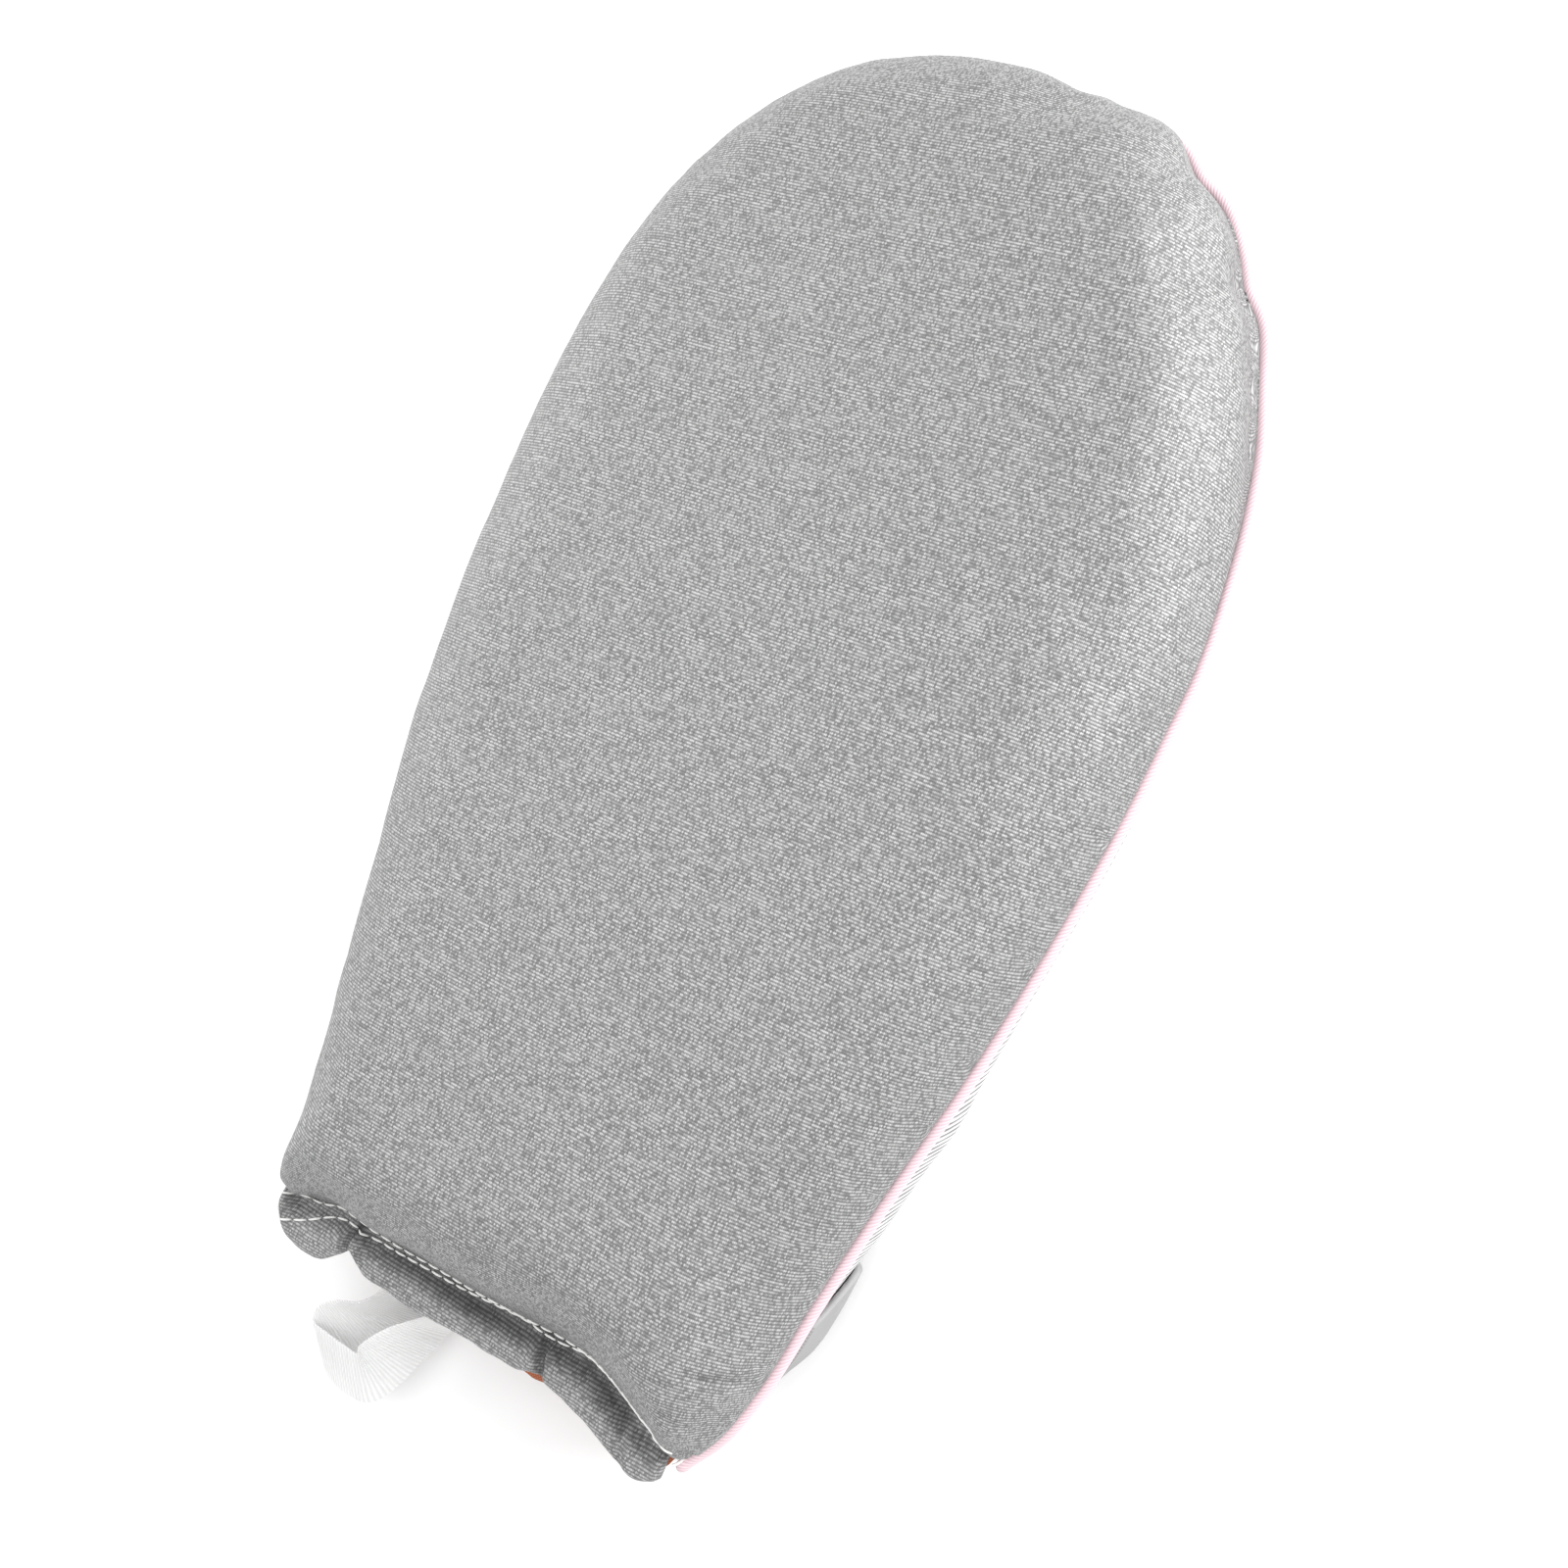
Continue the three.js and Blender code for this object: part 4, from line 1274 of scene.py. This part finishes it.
for i, spot in enumerate(centre):
    half_width = RIBBON_WIDTH / 2 + RIB_RELIEF * rib[i]
    half_depth = RIBBON_THICKNESS / 2 - RIB_RELIEF * (1 - rib[i])
    loops.append(spot + across[i] * half_width * wide[:, None] + through[i] * half_depth * deep[:, None])
ribbon = mesh_piece("ribbon_loop", *loft(loops))
flat = np.stack([np.tile(wide * RIBBON_WIDTH / 2, len(centre)), np.repeat(along, len(wide))], axis=1)
lay_flat(ribbon, np.concatenate([flat, flat[[0, -1]]]))

# Grosgrain: a white ribbon with thick ribs across it, a little shaded between them.
grosgrain = new_material("polyester_grosgrain")
cloth_place = add_node(grosgrain, "ShaderNodeAttribute", attribute_name="cloth_mm").outputs["Vector"]
ribs = add_node(
    grosgrain, "ShaderNodeTexWave",
    {"Vector": cloth_place, "Scale": BAND_UNIT / RIB_MM, "Phase Offset": math.pi / 2},
    bands_direction="Y",
)
ribbon_colour = add_node(
    grosgrain, "ShaderNodeMix",
    {MIX_FACTOR: ribs.outputs["Fac"], MIX_FIRST: linear(RIBBON_SHADE), MIX_SECOND: linear(RIBBON_WHITE)},
    data_type="RGBA",
)
relief = add_node(
    grosgrain, "ShaderNodeBump",
    {"Height": ribs.outputs["Fac"], "Strength": 0.6, "Distance": GROSGRAIN_RELIEF_MM * MM},
)
wire_surface(
    grosgrain,
    Base_Color=ribbon_colour.outputs[MIX_COLOUR],
    Roughness=0.6,
    Sheen_Weight=0.2,
    Subsurface_Weight=0.8,
    Subsurface_Radius=(1, 1, 1),
    Subsurface_Scale=3 * MM,
    Normal=relief.outputs["Normal"],
)
ribbon.data.materials.append(grosgrain)
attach(ribbon, "root")
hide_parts("hang_loop")

# The studio: a plain white table under large soft lights, the brightest one on the glove's right.
FLOOR_CORNERS_MM = ((-1500, -1500), (1500, -1500), (1500, 1500), (-1500, 1500))
FLOOR_HEIGHT_MM = -0.05
FLOOR_WHITE = "FAFAFA"
Softbox = namedtuple("Softbox", "name place size watts")
SOFTBOXES = (
    Softbox("key", (0.88, 0.8, 0.5), 0.7, 15),
    Softbox("fill", (-0.95, 0.15, 0.42), 0.8, 4),
    Softbox("top", (-0.1, 0.1, 1.1), 1.0, 2),
)
WORLD_BRIGHTNESS = 0.95

corners = [(x, y, FLOOR_HEIGHT_MM) for x, y in FLOOR_CORNERS_MM]
floor = mesh_piece("floor", corners, [(0, 1, 2, 3)])
floor_finish = new_material("matt_white_paper")
wire_surface(floor_finish, Base_Color=linear(FLOOR_WHITE), Roughness=0.9)
floor.data.materials.append(floor_finish)

for box in SOFTBOXES:
    light = bpy.data.objects.new(box.name, bpy.data.lights.new(box.name, "AREA"))
    light.data.size = box.size
    light.data.energy = box.watts
    light.location = box.place
    light.rotation_euler = Vector(box.place).to_track_quat("Z", "Y").to_euler()
    bpy.context.scene.collection.objects.link(light)
world = bpy.data.worlds.new("studio")
world.use_nodes = True
world.node_tree.nodes["Background"].inputs["Color"].default_value = (1, 1, 1, 1)
world.node_tree.nodes["Background"].inputs["Strength"].default_value = WORLD_BRIGHTNESS
bpy.context.scene.world = world
bpy.context.scene.view_settings.view_transform = "Standard"
